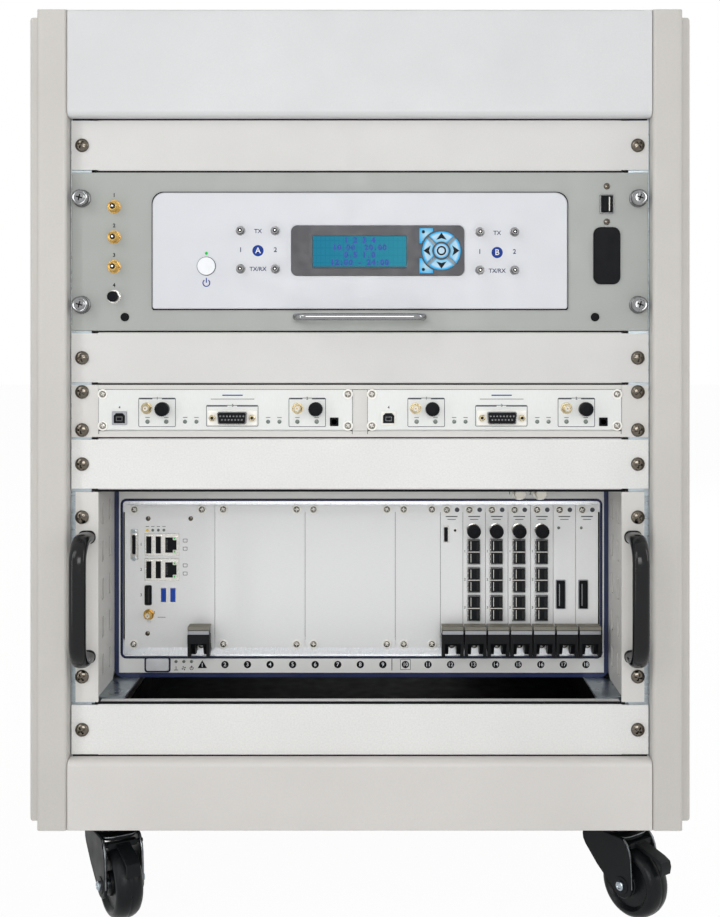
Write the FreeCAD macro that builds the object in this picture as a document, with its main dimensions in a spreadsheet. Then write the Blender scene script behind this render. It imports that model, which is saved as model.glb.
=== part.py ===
"""Twelve-unit instrument rack on casters, with a test station, two radio units and a card chassis.

Millimetres. +X is right, the front faces -Y, +Z is up and the floor is z = 0.
Every size below is a cell of the sheet "Dims"; objects follow the cells by expressions.
"""
import FreeCAD
import Part
import math
import os
import re

import Sketcher
from FreeCAD import Placement, Rotation, Vector

# ---------------------------------------------------------------- driving sizes
SIZES = {
    # cabinet
    "cabinet_depth": 700,
    "header_height": 88.6,
    "post_width": 25,
    "post_depth": 40,
    "post_radius": 3,
    "frame_rail": 36,
    "side_panel_thickness": 9,
    "side_panel_setback": 12,
    "side_panel_trim": 4,
    "side_panel_radius": 3,
    "plinth_height": 58,
    "trim_depth": 30,
    "trim_radius": 5.5,
    "sheet": 2,
    "seam": 0.5,
    # rear door
    "door_gap": 1.5,
    "door_depth": 20,
    "hinge_radius": 4,
    "hinge_pin": 2,
    "hinge_height": 60,
    "latch_projection": 8,
    "latch_radius": 15,
    "latch_inset": 24,
    "louvre_count": 12,
    "louvre_width": 300,
    "louvre_height": 5,
    "louvre_pitch": 14,
    # rack standard
    "rack_unit": 44.45,
    "rack_units": 12,
    "panel_width": 482.6,
    "panel_side_gap": 1.2,
    "panel_setback": 12,
    "panel_thickness": 2,
    "panel_gap": 0.8,
    "hole_span": 465.1,
    "rail_opening": 450,
    "rail_leg": 22,
    "rail_hole": 9.5,
    "rear_rail_inset": 110,
    "blank_fold_span": 438,
    "blank_fold_depth": 15,
    "blank_ear_step": 1.3,
    "blank_bend": 1.4,
    # casters
    "caster_side_inset": 49.5,
    "swivel_height": 19,
    "caster_inset": 56,
    "caster_yaw_left": 30,
    "caster_yaw_right": 38,
    "caster_yaw_rear": 24,
    "caster_plate": 62,
    "wheel_radius": 30,
    "wheel_width": 24,
    "wheel_trail": 27,
    "axle_radius": 4,
    "fork_sheet": 3,
    "fork_clearance": 2.5,
    "pedal_length": 34,
    # station
    "station_depth": 360,
    "station_width": 430,
    "fascia_width": 346.6,
    "fascia_thickness": 2.4,
    "fascia_above": 49.2,
    "fascia_below": 47.9,
    "bezel_thickness": 3.6,
    "key_height": 1.2,
    "key_travel": 1,
    "key_gap": 0.35,
    "keypad_x": 68,
    "keypad_z": 0.5,
    "keypad_radius": 16,
    "keypad_inner": 7.8,
    "keypad_slit": 3,
    "select_radius": 6,
    "station_button_x": -128.2,
    "station_button_z": -12.3,
    "station_button_radius": 7.4,
    "pull_span": 104.8,
    "pull_drop": 55,
    "pull_radius": 3,
    "pull_reach": 27,
    "pull_bend": 11,
    # radio tray
    "tray_depth": 260,
    "ear_root": 4,
    "radio_spacing": 225,
    "radio_width": 212,
    "radio_above": 17.8,
    "radio_below": 15.6,
    # card chassis
    "chassis_width": 444.5,
    "chassis_height": 176.5,
    "chassis_depth": 400,
    "chassis_recess": 82,
    "chassis_radius": 8,
    "trim_width": 4,
    "cage_half_width": 214.8,
    "cage_low": 69.4,
    "cage_high": 70.1,
    "cage_depth": 26,
    "slot_pitch": 20.32,
    "slot_origin": -213.4,
    "slot_seam": 0.4,
    "module_low": 61.9,
    "module_high": 66.5,
    "module_thickness": 2.5,
    "ejector_width": 17.6,
    "ejector_reach": 19,
    "ejector_low": 65.4,
    "ejector_high": 39.4,
    "bracket_inner": 219,
    "bracket_outer": 238,
    "bracket_length": 120,
    "handle_centre": 228.5,
    "handle_span": 100,
    "handle_projection": 39,
    "handle_thickness": 10,
    "handle_width": 14,
    "handle_bend": 22,
}

DERIVED = {
    "axle_height": "wheel_radius",
    "crown_height": "wheel_radius * 2 + 6",
    "caster_height": "crown_height + swivel_height",
    "opening_bottom": "caster_height + plinth_height",
    "opening_top": "opening_bottom + rack_units * rack_unit",
    "cabinet_top": "opening_top + header_height",
    "front_face": "-(cabinet_depth + latch_projection - handle_projection + panel_setback) / 2",
    "rear_face": "front_face + cabinet_depth",
    "panel_face": "front_face + panel_setback",
    "rail_face": "panel_face + panel_thickness",
    "rear_rail_face": "rear_face - rear_rail_inset",
    "post_inner": "panel_width / 2 + panel_side_gap",
    "post_outer": "post_inner + post_width",
    "cabinet_width": "2 * (post_outer + side_panel_thickness)",
    "caster_span": "2 * (post_outer - caster_side_inset)",
    "bezel_right": "keypad_x + keypad_radius + 3",
    "bezel_top": "station_mid + keypad_z + keypad_radius + 5",
    "bezel_bottom": "station_mid + keypad_z - keypad_radius - 4.7",
    "station_mid": "opening_bottom + 9.5 * rack_unit",
    "radio_mid": "opening_bottom + 6.5 * rack_unit",
    "chassis_mid": "opening_bottom + 3 * rack_unit",
    "fascia_face": "panel_face - fascia_thickness",
    "bezel_face": "panel_face - bezel_thickness",
    "chassis_face": "panel_face + chassis_recess",
    "chassis_bottom": "chassis_mid - chassis_height / 2",
    "radio_face": "panel_face - 1",
    "fork_gap": "wheel_width + 2 * fork_clearance",
    "fork_width": "fork_gap + 2 * fork_sheet",
    "door_hinge_x": "-post_inner",
    "door_hinge_y": "rear_face + hinge_radius",
}

doc = FreeCAD.newDocument("InstrumentRack")
sheet = doc.addObject("Spreadsheet::Sheet", "Dims")
for row, (alias, value) in enumerate({**SIZES, **DERIVED}.items(), start=1):
    sheet.set(f"A{row}", alias)
    sheet.set(f"B{row}", str(value) if alias in SIZES else f"={value}")
    sheet.setAlias(f"B{row}", alias)
doc.recompute()

ALIASES = set(SIZES) | set(DERIVED)
AXES = {"x": Rotation(Vector(0, 1, 0), 90), "y": Rotation(Vector(1, 0, 0), -90), "z": Rotation()}
# plane: role, and the sign between a place along the plane's normal and the sketch's own offset
PLANES = {"front": ("XZ_Plane", -1), "top": ("XY_Plane", 1), "side": ("YZ_Plane", 1)}
nodes = {}


# ---------------------------------------------------------------- helpers
def formula(text):
    """The text with every size's name pointed at its cell."""
    return re.sub(r"[a-z][a-z_0-9]*", lambda m: "Dims." + m[0] if m[0] in ALIASES else m[0], str(text))


def size(text):
    """The value of a formula as a plain number."""
    return float(sheet.evalExpression(formula(text)))


def bind(obj, **properties):
    """Ties properties to formulas; base_x stands for Placement.Base.x."""
    for name, text in properties.items():
        path = name.replace("base_", "Placement.Base.")
        obj.setExpression(path, formula(text))
    return obj


def add(kind, name):
    return doc.addObject(kind, name)


def block(name, x, y, z):
    """A box between pairs of formulas."""
    obj = add("Part::Box", name)
    bind(obj, Length=f"({x[1]}) - ({x[0]})", Width=f"({y[1]}) - ({y[0]})", Height=f"({z[1]}) - ({z[0]})")
    return bind(obj, base_x=x[0], base_y=y[0], base_z=z[0])


def rod(name, axis, radius, length, x, y, z):
    """A cylinder that starts at x, y, z and runs along +axis."""
    obj = add("Part::Cylinder", name)
    obj.Placement = Placement(Vector(), AXES[axis])
    bind(obj, Radius=radius, Height=length)
    return bind(obj, base_x=x, base_y=y, base_z=z)


def prism(name, axis, sides, radius, length, x, y, z):
    """A regular prism that starts at x, y, z and runs along +axis."""
    obj = add("Part::Prism", name)
    obj.Polygon = sides
    obj.Placement = Placement(Vector(), AXES[axis])
    bind(obj, Circumradius=radius, Height=length)
    return bind(obj, base_x=x, base_y=y, base_z=z)


def fuse(name, *shapes):
    obj = add("Part::MultiFuse", name)
    obj.Shapes = list(shapes)
    obj.Refine = True
    return obj


def cut(name, base, *tools):
    obj = add("Part::Cut", name)
    obj.Base = base
    obj.Tool = tools[0] if len(tools) == 1 else fuse(name + "_tools", *tools)
    obj.Refine = True
    return obj


def group(name, *shapes):
    """Separate solids kept side by side in one sub-part."""
    obj = add("Part::Compound", name)
    obj.Links = list(shapes)
    return obj


def soften(name, base, radius, choose):
    """A fillet on the edges that choose(edge) picks."""
    doc.recompute()
    obj = add("Part::Fillet", name)
    obj.Base = base
    edges = [i for i, edge in enumerate(base.Shape.Edges, start=1) if choose(edge)]
    obj.Edges = [(i, size(radius), size(radius)) for i in edges]
    return obj


def bevel_solid(name, base, width, choose):
    """A chamfer on the edges that choose(edge) picks."""
    doc.recompute()
    obj = add("Part::Chamfer", name)
    obj.Base = base
    edges = [i for i, edge in enumerate(base.Shape.Edges, start=1) if choose(edge)]
    obj.Edges = [(i, size(width), size(width)) for i in edges]
    return obj


def node(label, obj):
    """Names a finished sub-part, which is written to parts/."""
    obj.Label = label
    nodes[label] = obj
    return obj


def along(edge, axis):
    """True for a straight edge that runs along axis 0, 1 or 2."""
    if not isinstance(edge.Curve, Part.Line):
        return False
    return abs(abs(edge.tangentAt(edge.FirstParameter)[axis]) - 1) < 1e-6


def middle(edge):
    return edge.valueAt((edge.FirstParameter + edge.LastParameter) / 2)


def lies(edge, axis, place):
    """True when the whole edge lies at one place along axis."""
    box = edge.BoundBox
    low = (box.XMin, box.YMin, box.ZMin)[axis]
    high = (box.XMax, box.YMax, box.ZMax)[axis]
    return abs(low - place) < 0.01 and abs(high - place) < 0.01


def new_body(name):
    return add("PartDesign::Body", name)


def sketch_on(body, name, plane, level):
    """An empty sketch parallel to an origin plane of the body, at level along that plane's axis."""
    role, sign = PLANES[plane]
    sketch = body.newObject("Sketcher::SketchObject", name)
    origin_plane = next(f for f in body.Origin.OriginFeatures if f.Role == role)
    sketch.AttachmentSupport = [(origin_plane, "")]
    sketch.MapMode = "FlatFace"
    sketch.setExpression("AttachmentOffset.Base.z", formula(f"{sign} * ({level})"))
    return sketch


def hold(sketch, kind, items, text):
    """A dimension whose value follows a formula."""
    index = sketch.addConstraint(Sketcher.Constraint(kind, *items, size(text)))
    sketch.setExpression(f"Constraints[{index}]", formula(text))


def draw_polygon(sketch, points):
    """A closed outline of straight edges through (u, v) formulas."""
    first = sketch.GeometryCount
    places = [Vector(size(u), size(v), 0) for u, v in points]
    count = len(points)
    for i in range(count):
        sketch.addGeometry(Part.LineSegment(places[i], places[(i + 1) % count]))
    for i, (u, v) in enumerate(points):
        sketch.addConstraint(Sketcher.Constraint("Coincident", first + i, 2, first + (i + 1) % count, 1))
        hold(sketch, "DistanceX", (-1, 1, first + i, 1), u)
        hold(sketch, "DistanceY", (-1, 1, first + i, 1), v)


def draw_rectangle(sketch, u, v):
    """A rectangle with sharp corners."""
    draw_polygon(sketch, [(u[0], v[0]), (u[1], v[0]), (u[1], v[1]), (u[0], v[1])])


def draw_octagon(sketch, u, v, radius):
    draw_polygon(sketch, [(f"{u} + {radius} * cos({45 * i}deg)", f"{v} + {radius} * sin({45 * i}deg)")
                          for i in range(8)])


def draw_circle(sketch, u, v, radius):
    index = sketch.addGeometry(Part.Circle(Vector(size(u), size(v), 0), Vector(0, 0, 1), size(radius)))
    hold(sketch, "DistanceX", (-1, 1, index, 3), u)
    hold(sketch, "DistanceY", (-1, 1, index, 3), v)
    hold(sketch, "Radius", (index,), radius)


def draw_rounded(sketch, u, v, radii):
    """A rectangle with its four corners rounded: lower left, lower right, upper right, upper left."""
    radii = list(radii) if isinstance(radii, (list, tuple)) else [radii] * 4
    low_left, low_right, up_right, up_left = (size(r) for r in radii)
    left, right, low, high = size(u[0]), size(u[1]), size(v[0]), size(v[1])
    first = sketch.GeometryCount
    sides = (
        (Vector(left + low_left, low), Vector(right - low_right, low)),
        (Vector(right, low + low_right), Vector(right, high - up_right)),
        (Vector(right - up_right, high), Vector(left + up_left, high)),
        (Vector(left, high - up_left), Vector(left, low + low_left)),
    )
    corners = (
        (Vector(right - low_right, low + low_right), low_right),
        (Vector(right - up_right, high - up_right), up_right),
        (Vector(left + up_left, high - up_left), up_left),
        (Vector(left + low_left, low + low_left), low_left),
    )
    for i in range(4):
        sketch.addGeometry(Part.LineSegment(*sides[i]))
        centre, radius = corners[i]
        start = (i - 1) * math.pi / 2
        circle = Part.Circle(centre, Vector(0, 0, 1), radius)
        sketch.addGeometry(Part.ArcOfCircle(circle, start, start + math.pi / 2))
    for i in range(4):
        line = first + 2 * i
        sketch.addConstraint(Sketcher.Constraint("Tangent", line, 2, line + 1, 1))
        sketch.addConstraint(Sketcher.Constraint("Tangent", line + 1, 2, first + (2 * i + 2) % 8, 1))
        hold(sketch, "Radius", (line + 1,), radii[(i + 1) % 4])
    sketch.addConstraint(Sketcher.Constraint("Horizontal", first))
    hold(sketch, "DistanceY", (-1, 1, first, 1), v[0])
    hold(sketch, "DistanceX", (-1, 1, first + 2, 1), u[1])
    hold(sketch, "DistanceY", (-1, 1, first + 4, 1), v[1])
    hold(sketch, "DistanceX", (-1, 1, first + 6, 1), u[0])


def pad(body, name, sketch, length, back=False, both=False):
    """A pad towards the plane's normal (the front, the top or +X), or back from it."""
    feature = body.newObject("PartDesign::Pad", name)
    feature.Profile = sketch
    feature.Reversed = back
    feature.Midplane = both
    return bind(feature, Length=length)


def pocket(body, name, sketch, depth):
    """A pocket away from the plane's normal; the body must lose volume by it."""
    doc.recompute()
    before = body.Shape.Volume
    feature = body.newObject("PartDesign::Pocket", name)
    feature.Profile = sketch
    bind(feature, Length=depth)
    doc.recompute()
    assert body.Shape.Volume < before - 0.01, name
    return feature


def repeat(body, name, feature, axis, length, count):
    """A linear pattern along an origin axis of the body."""
    pattern = body.newObject("PartDesign::LinearPattern", name)
    pattern.Originals = [feature]
    line = next(f for f in body.Origin.OriginFeatures if f.Role == axis)
    pattern.Direction = (line, [""])
    bind(pattern, Length=length, Occurrences=count)
    body.Tip = pattern
    return pattern


def bevel(body, name, width, choose):
    """A chamfer on the edges of the body's last feature that choose(edge) picks."""
    doc.recompute()
    base = body.Tip
    edges = [f"Edge{i}" for i, edge in enumerate(base.Shape.Edges, start=1) if choose(edge)]
    feature = body.newObject("PartDesign::Chamfer", name)
    feature.Base = (base, edges)
    return bind(feature, Size=width)


def plate(name, x, z, front, thickness, radii=None):
    """A body that is one flat plate facing the front, with square or rounded corners."""
    body = new_body(name)
    outline = sketch_on(body, name + "_outline", "front", front)
    if radii:
        draw_rounded(outline, x, z, radii)
    else:
        draw_rectangle(outline, x, z)
    pad(body, name + "_pad", outline, thickness, back=True)
    return body


def stepped(name, steps, x, y, z):
    """A stack standing on the plane y and growing to the front: (sides, radius, start, end) for each step."""
    parts = [prism(f"{name}_{i}", "y", sides, radius, f"({end}) - ({start})", x, f"{y} - ({end})", z)
             for i, (sides, radius, start, end) in enumerate(steps)]
    return fuse(name, *parts) if len(parts) > 1 else parts[0]


def bow_handle(name, plane, level, span, reach, thickness, width, bend, edge=None):
    """A bow with rounded corners that stands on panel_face; plane is the one that shows the bow's outline.

    span is the pair of places of its two legs along the panel.
    """
    body = new_body(name)
    tip = f"panel_face - ({reach})"
    outer = (f"{span[0]} - {thickness} / 2", f"{span[1]} + {thickness} / 2")
    inner = (f"{span[0]} + {thickness} / 2", f"{span[1]} - {thickness} / 2")
    outline = sketch_on(body, name + "_outline", plane, level)
    gap = sketch_on(body, name + "_gap", plane, f"{level} + {width} / 2 + 1")
    away, nothing, inside = bend, "0.5", f"{bend} - {thickness}"
    if plane == "side":
        draw_rounded(outline, (tip, "panel_face + 6"), outer, (away, nothing, nothing, away))
        draw_rounded(gap, (f"{tip} + {thickness}", "panel_face + 8"), inner, (inside, nothing, nothing, inside))
    else:
        draw_rounded(outline, outer, (tip, "panel_face + 6"), (away, away, nothing, nothing))
        draw_rounded(gap, inner, (f"{tip} + {thickness}", "panel_face + 8"), (inside, inside, nothing, nothing))
    pad(body, name + "_width", outline, width, both=True)
    pocket(body, name + "_hole", gap, f"{width} + 2")
    seat = size("panel_face")
    across = 0 if plane == "side" else 2
    if edge:
        bevel(body, name + "_edges", edge, lambda e: middle(e).y < seat + 5 and not along(e, across))
    foot = sketch_on(body, name + "_foot", "front", "panel_face")
    draw_rectangle(foot, ("-panel_width", "panel_width"), ("opening_bottom", "opening_top"))
    pocket(body, name + "_trim", foot, "8")
    return body


# ---------------------------------------------------------------- cabinet
HINGES = ("opening_bottom + 70", "opening_top - 70 - hinge_height")


def make_side_frame(label, sign):
    """Welded ladder frame: two posts joined by three rails."""
    inner, outer = ("post_inner", "post_outer") if sign > 0 else ("-post_outer", "-post_inner")
    x = (inner, outer)
    between = ("front_face + post_depth", "rear_face - post_depth")
    whole = ("caster_height", "cabinet_top")
    top = block(label + "_top_rail", x, between, ("cabinet_top - frame_rail", "cabinet_top"))
    low = block(label + "_low_rail", x, between, ("caster_height", "caster_height + frame_rail"))
    centre = "(caster_height + cabinet_top) / 2"
    mid = block(label + "_mid_rail", x, between, (f"{centre} - frame_rail / 2", f"{centre} + frame_rail / 2"))
    posts = []
    for end, y in (("front", ("front_face", between[0])), ("rear", (between[1], "rear_face"))):
        post = block(f"{label}_{end}_bar", x, y, whole)
        face = size(y[0] if end == "front" else y[1])
        posts.append(soften(f"{label}_{end}_post", post, "post_radius", lambda e: along(e, 2) and lies(e, 1, face)))
    hinges = make_post_hinges() if sign < 0 else []
    return node(label, group(label, *posts, top, low, mid, *hinges))


def make_base_frame():
    """Floor pan with a cable opening, side flanges and the rear sill."""
    inside = ("-post_inner + seam", "post_inner - seam")
    y = ("front_face + trim_depth + seam", "rear_face")
    floor = block("floor_sheet", inside, y, ("caster_height", "caster_height + sheet"))
    flange = ("caster_height", "caster_height + frame_rail")
    left = block("floor_left", (inside[0], f"{inside[0]} + sheet"), y, flange)
    right = block("floor_right", (f"{inside[1]} - sheet", inside[1]), y, flange)
    front = block("floor_front", inside, (y[0], f"{y[0]} + sheet"), flange)
    sill = block("rear_sill", inside, ("rear_face - sheet", "rear_face"), ("caster_height", "opening_bottom - seam"))
    sill_lip = block("sill_lip", inside, ("rear_face - door_depth", "rear_face"),
                     ("opening_bottom - seam - sheet", "opening_bottom - seam"))
    pan = fuse("floor_pan", floor, left, right, front, sill, sill_lip)
    slot = block("cable_opening", ("-post_inner / 2", "post_inner / 2"), ("rear_face - 190", "rear_face - 90"),
                 ("caster_height - 1", "caster_height + sheet + 1"))
    return node("base_frame", cut("base_frame", pan, slot))


def make_top_cover():
    """Folded top sheet whose rear edge comes down as a deep flange."""
    inside = ("-post_inner + seam", "post_inner - seam")
    y = ("front_face + trim_depth + seam", "rear_face")
    skin = block("top_sheet", inside, y, ("cabinet_top - sheet", "cabinet_top"))
    flange = ("cabinet_top - frame_rail", "cabinet_top")
    left = block("top_left", (inside[0], f"{inside[0]} + sheet"), y, flange)
    right = block("top_right", (f"{inside[1]} - sheet", inside[1]), y, flange)
    rear = block("top_rear", inside, ("rear_face - sheet", "rear_face"), ("opening_top + seam", "cabinet_top"))
    lip = block("top_lip", inside, ("rear_face - door_depth", "rear_face"),
                ("opening_top + seam", "opening_top + seam + sheet"))
    cover = fuse("top_folds", skin, left, right, rear, lip)
    top = size("cabinet_top")
    return node("top_cover", soften("top_cover", cover, "sheet * 0.9", lambda e: along(e, 0) and lies(
        e, 2, top) and lies(e, 1, size("rear_face"))))


def make_side_panel(label, sign):
    """Lift-off side panel, a closed pan with rounded edges."""
    x = ("post_outer", "cabinet_width / 2") if sign > 0 else ("-cabinet_width / 2", "-post_outer")
    outside = size("cabinet_width / 2") * sign
    panel = block(label + "_pan", x, ("front_face + side_panel_setback", "rear_face - side_panel_setback"),
                  ("caster_height + side_panel_trim", "cabinet_top - side_panel_trim"))
    return node(label, soften(label, panel, "side_panel_radius", lambda e: lies(e, 0, outside)))


def channel(name, low, high, rounded):
    """A folded trim across the front between the posts: a C section along X."""
    body = new_body(name)
    section = sketch_on(body, name + "_section", "side", "-post_inner + seam")
    draw_rounded(section, ("front_face", "front_face + trim_depth"), (low, high), rounded)
    pad(body, name + "_length", section, "2 * (post_inner - seam)")
    hollow = sketch_on(body, name + "_hollow", "side", "post_inner - seam")
    draw_rectangle(hollow, ("front_face + sheet", "front_face + trim_depth + 1"),
                   (f"{low} + 2 * sheet", f"{high} - 2 * sheet"))
    pocket(body, name + "_fold", hollow, "2 * (post_inner - seam)")
    return node(name, body)


def make_rack_rails():
    """Four zinc-plated mounting rails with a square hole for each unit, and the tray's own pair."""
    rails = []
    ends = (("front", "rail_face", 1), ("rear", "rear_rail_face", -1))
    for end, face, inward in ends:
        for side, sign in (("left", -1), ("right", 1)):
            name = f"rail_{end}_{side}"
            body = new_body(name)
            section = sketch_on(body, name + "_section", "top", "opening_bottom")
            back = f"{face} + {inward} * panel_thickness"
            leg = f"{face} + {inward} * rail_leg"
            near = f"{sign} * rail_opening / 2"
            far = f"{sign} * (post_inner - seam / 2)"
            inner = f"{sign} * (post_inner - seam / 2 - panel_thickness)"
            draw_polygon(section, [(near, face), (far, face), (far, leg), (inner, leg), (inner, back), (near, back)])
            pad(body, name + "_length", section, "opening_top - opening_bottom")
            holes = sketch_on(body, name + "_hole", "front", f"{face} - ({1 if inward > 0 else -1}) - "
                              f"{0 if inward > 0 else 4}")
            across = (f"{sign} * hole_span / 2 - rail_hole / 2", f"{sign} * hole_span / 2 + rail_hole / 2")
            draw_rectangle(holes, across, ("opening_bottom + rack_unit / 2 - rail_hole / 2",
                                           "opening_bottom + rack_unit / 2 + rail_hole / 2"))
            punched = pocket(body, name + "_punch", holes, "panel_thickness + 4")
            repeat(body, name + "_holes", punched, "Z_Axis", "(rack_units - 1) * rack_unit", "rack_units")
            if end == "front":
                pair = sketch_on(body, name + "_tray_holes", "front", f"{face} - 1")
                for shift in ("-(rack_unit / 2 - 6.35)", "(rack_unit / 2 - 6.35)"):
                    draw_rectangle(pair, across, (f"radio_mid + {shift} - rail_hole / 2",
                                                  f"radio_mid + {shift} + rail_hole / 2"))
                pocket(body, name + "_tray_punch", pair, "panel_thickness + 4")
            rails.append(body)
    return node("rack_rails", group("rack_rails", *rails))


def make_blank_panels():
    """One-unit blank panels: a folded channel with flat ears."""
    panels = []
    for number, unit in enumerate((11, 7, 5, 0), start=1):
        name = f"blank_{number}"
        low = f"(opening_bottom + {unit} * rack_unit + panel_gap / 2)"
        high = f"(opening_bottom + {unit + 1} * rack_unit - panel_gap / 2)"
        body = new_body(name)
        section = sketch_on(body, name + "_section", "side", "blank_fold_span / 2")
        draw_polygon(section, [
            ("panel_face + blank_bend", low),
            ("panel_face + blank_fold_depth", low),
            ("panel_face + blank_fold_depth", high),
            ("panel_face + blank_bend", high),
            ("panel_face", f"{high} - blank_bend"),
            ("panel_face", f"{low} + blank_bend"),
        ])
        pad(body, name + "_length", section, "blank_fold_span", back=True)
        hollow = sketch_on(body, name + "_hollow", "side", "blank_fold_span / 2 + 1")
        draw_rectangle(hollow, ("panel_face + panel_thickness", "panel_face + blank_fold_depth + 1"),
                       (f"{low} + panel_thickness", f"{high} - panel_thickness"))
        pocket(body, name + "_fold", hollow, "blank_fold_span + 2")
        ears = sketch_on(body, name + "_ears", "front", "panel_face")
        draw_rectangle(ears, ("-panel_width / 2", "panel_width / 2"),
                       (f"{low} + blank_ear_step", f"{high} - blank_ear_step"))
        pad(body, name + "_ear_pad", ears, "panel_thickness", back=True)
        panels.append(body)
    return node("blank_panels", group("blank_panels", *panels))


def make_rear_door():
    """Inset steel door with two banks of louvres and lift-off hinge barrels."""
    body = new_body("door_pan")
    x = ("-post_inner + door_gap", "post_inner - door_gap")
    z = ("opening_bottom + door_gap", "opening_top - door_gap")
    skin = sketch_on(body, "door_outline", "front", "rear_face - door_depth")
    draw_rectangle(skin, x, z)
    pad(body, "door_block", skin, "door_depth", back=True)
    inside = sketch_on(body, "door_inside", "front", "rear_face - door_depth")
    draw_rectangle(inside, (f"{x[0]} + sheet", f"{x[1]} - sheet"), (f"{z[0]} + sheet", f"{z[1]} - sheet"))
    pocket(body, "door_folds", inside, "door_depth - sheet")
    for bank, start in (("low", "opening_bottom + 45"),
                        ("high", "opening_top - 45 - (louvre_count - 1) * louvre_pitch")):
        slots = sketch_on(body, f"louvre_{bank}", "front", "rear_face - sheet - 1")
        draw_rectangle(slots, ("-louvre_width / 2", "louvre_width / 2"),
                       (f"{start} - louvre_height / 2", f"{start} + louvre_height / 2"))
        vent = pocket(body, f"louvre_{bank}_cut", slots, "sheet + 2")
        repeat(body, f"louvre_{bank}_bank", vent, "Z_Axis", "(louvre_count - 1) * louvre_pitch", "louvre_count")
    shaft = sketch_on(body, "latch_hole", "front", "rear_face - sheet - 1")
    draw_circle(shaft, "post_inner - latch_inset", "(opening_bottom + opening_top) / 2", "5.4")
    pocket(body, "latch_hole_cut", shaft, "sheet + 2")
    leaves = []
    for i, height in enumerate(HINGES):
        upper = (f"{height} + hinge_height / 2 + 0.3", f"{height} + hinge_height")
        barrel = rod(f"door_barrel_{i}", "z", "hinge_radius", "hinge_height / 2 - 0.3", "door_hinge_x",
                     "door_hinge_y", upper[0])
        socket = prism(f"door_socket_{i}", "z", 12, "hinge_pin + 0.3", "hinge_height / 2 - 3", "door_hinge_x", "door_hinge_y",
                     f"{upper[0]} - 1")
        leaf = block(f"door_leaf_{i}", ("door_hinge_x", "door_hinge_x + 24"), ("rear_face", "rear_face + sheet"), upper)
        leaves.append(cut(f"door_knuckle_{i}", fuse(f"door_hinge_{i}", barrel, leaf), socket))
    return node("rear_door", group("rear_door", body, *leaves))


def make_post_hinges():
    """The post halves of the door's hinges, with their pins."""
    halves = []
    for i, height in enumerate(HINGES):
        lower = (height, f"{height} + hinge_height / 2")
        barrel = rod(f"post_barrel_{i}", "z", "hinge_radius", "hinge_height / 2", "door_hinge_x", "door_hinge_y",
                     lower[0])
        leaf = block(f"post_leaf_{i}", ("door_hinge_x - 22", "door_hinge_x"), ("rear_face", "rear_face + sheet"), lower)
        pin = prism(f"hinge_pin_{i}", "z", 12, "hinge_pin", "hinge_height - 5", "door_hinge_x", "door_hinge_y", lower[0])
        halves.append(fuse(f"post_hinge_{i}", barrel, leaf, pin))
    return halves


def make_door_latch():
    """Quarter-turn latch: a disc with a grip bar outside and a short tongue inside."""
    x = "post_inner - latch_inset"
    z = "(opening_bottom + opening_top) / 2"
    disc = prism("latch_disc", "y", 48, "latch_radius", "3", x, "rear_face + 0.2", z)
    grip = block("latch_grip", (f"{x} - 3.5", f"{x} + 3.5"), ("rear_face + 1", "rear_face + latch_projection"),
                 (f"{z} - latch_radius + 2", f"{z} + latch_radius - 2"))
    shaft = block("latch_shaft", (f"{x} - 3.6", f"{x} + 3.6"), ("rear_face - door_depth - 6", "rear_face + 1"),
                  (f"{z} - 3.6", f"{z} + 3.6"))
    tongue = block("latch_tongue", (f"{x} - 8", f"{x} + 18"), ("rear_face - door_depth - 6", "rear_face - door_depth - 3"),
                   (f"{z} - 8", f"{z} + 8"))
    return node("door_latch", fuse("door_latch", disc, grip, shaft, tongue))


# ---------------------------------------------------------------- casters
CASTERS = {
    "fl": (-1, "front_face + caster_inset", "caster_yaw_left"),
    "fr": (1, "front_face + caster_inset", "caster_yaw_right"),
    "rl": (-1, "rear_face - caster_inset", "caster_yaw_rear"),
    "rr": (1, "rear_face - caster_inset", "caster_yaw_rear"),
}


def put_on_swivel(obj, corner):
    """Moves a part built about the swivel axis, trail towards -Y, to its corner and yaw."""
    sign, y, yaw = CASTERS[corner]
    obj.Placement = Placement(Vector(), Rotation(Vector(0, 0, 1), size(yaw)))
    bind(obj, base_x=f"{sign} * caster_span / 2", base_y=y)
    obj.setExpression("Placement.Rotation.Angle", formula(yaw))
    return obj


def make_caster_plates():
    """Four top plates, each with the fixed raceway of its swivel."""
    plates = []
    for corner, (sign, y, _) in CASTERS.items():
        x = f"{sign} * caster_span / 2"
        top = block(f"top_plate_{corner}", (f"{x} - caster_plate / 2", f"{x} + caster_plate / 2 - 14"),
                    (f"{y} - caster_plate / 2", f"{y} + caster_plate / 2"), ("caster_height - 3", "caster_height"))
        if sign < 0:
            bind(top, base_x=f"{x} - caster_plate / 2 + 14")
        race = prism(f"race_{corner}", "z", 24, "21", "caster_height - 3 - (crown_height + 4.4)", x, y,
                     "crown_height + 4.4")
        pin = prism(f"king_pin_{corner}", "z", 12, "4", "caster_height - 3 - crown_height", x, y, "crown_height")
        plates.append(fuse(f"swivel_{corner}", top, race, pin))
    return node("caster_plates", group("caster_plates", *plates))


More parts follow.
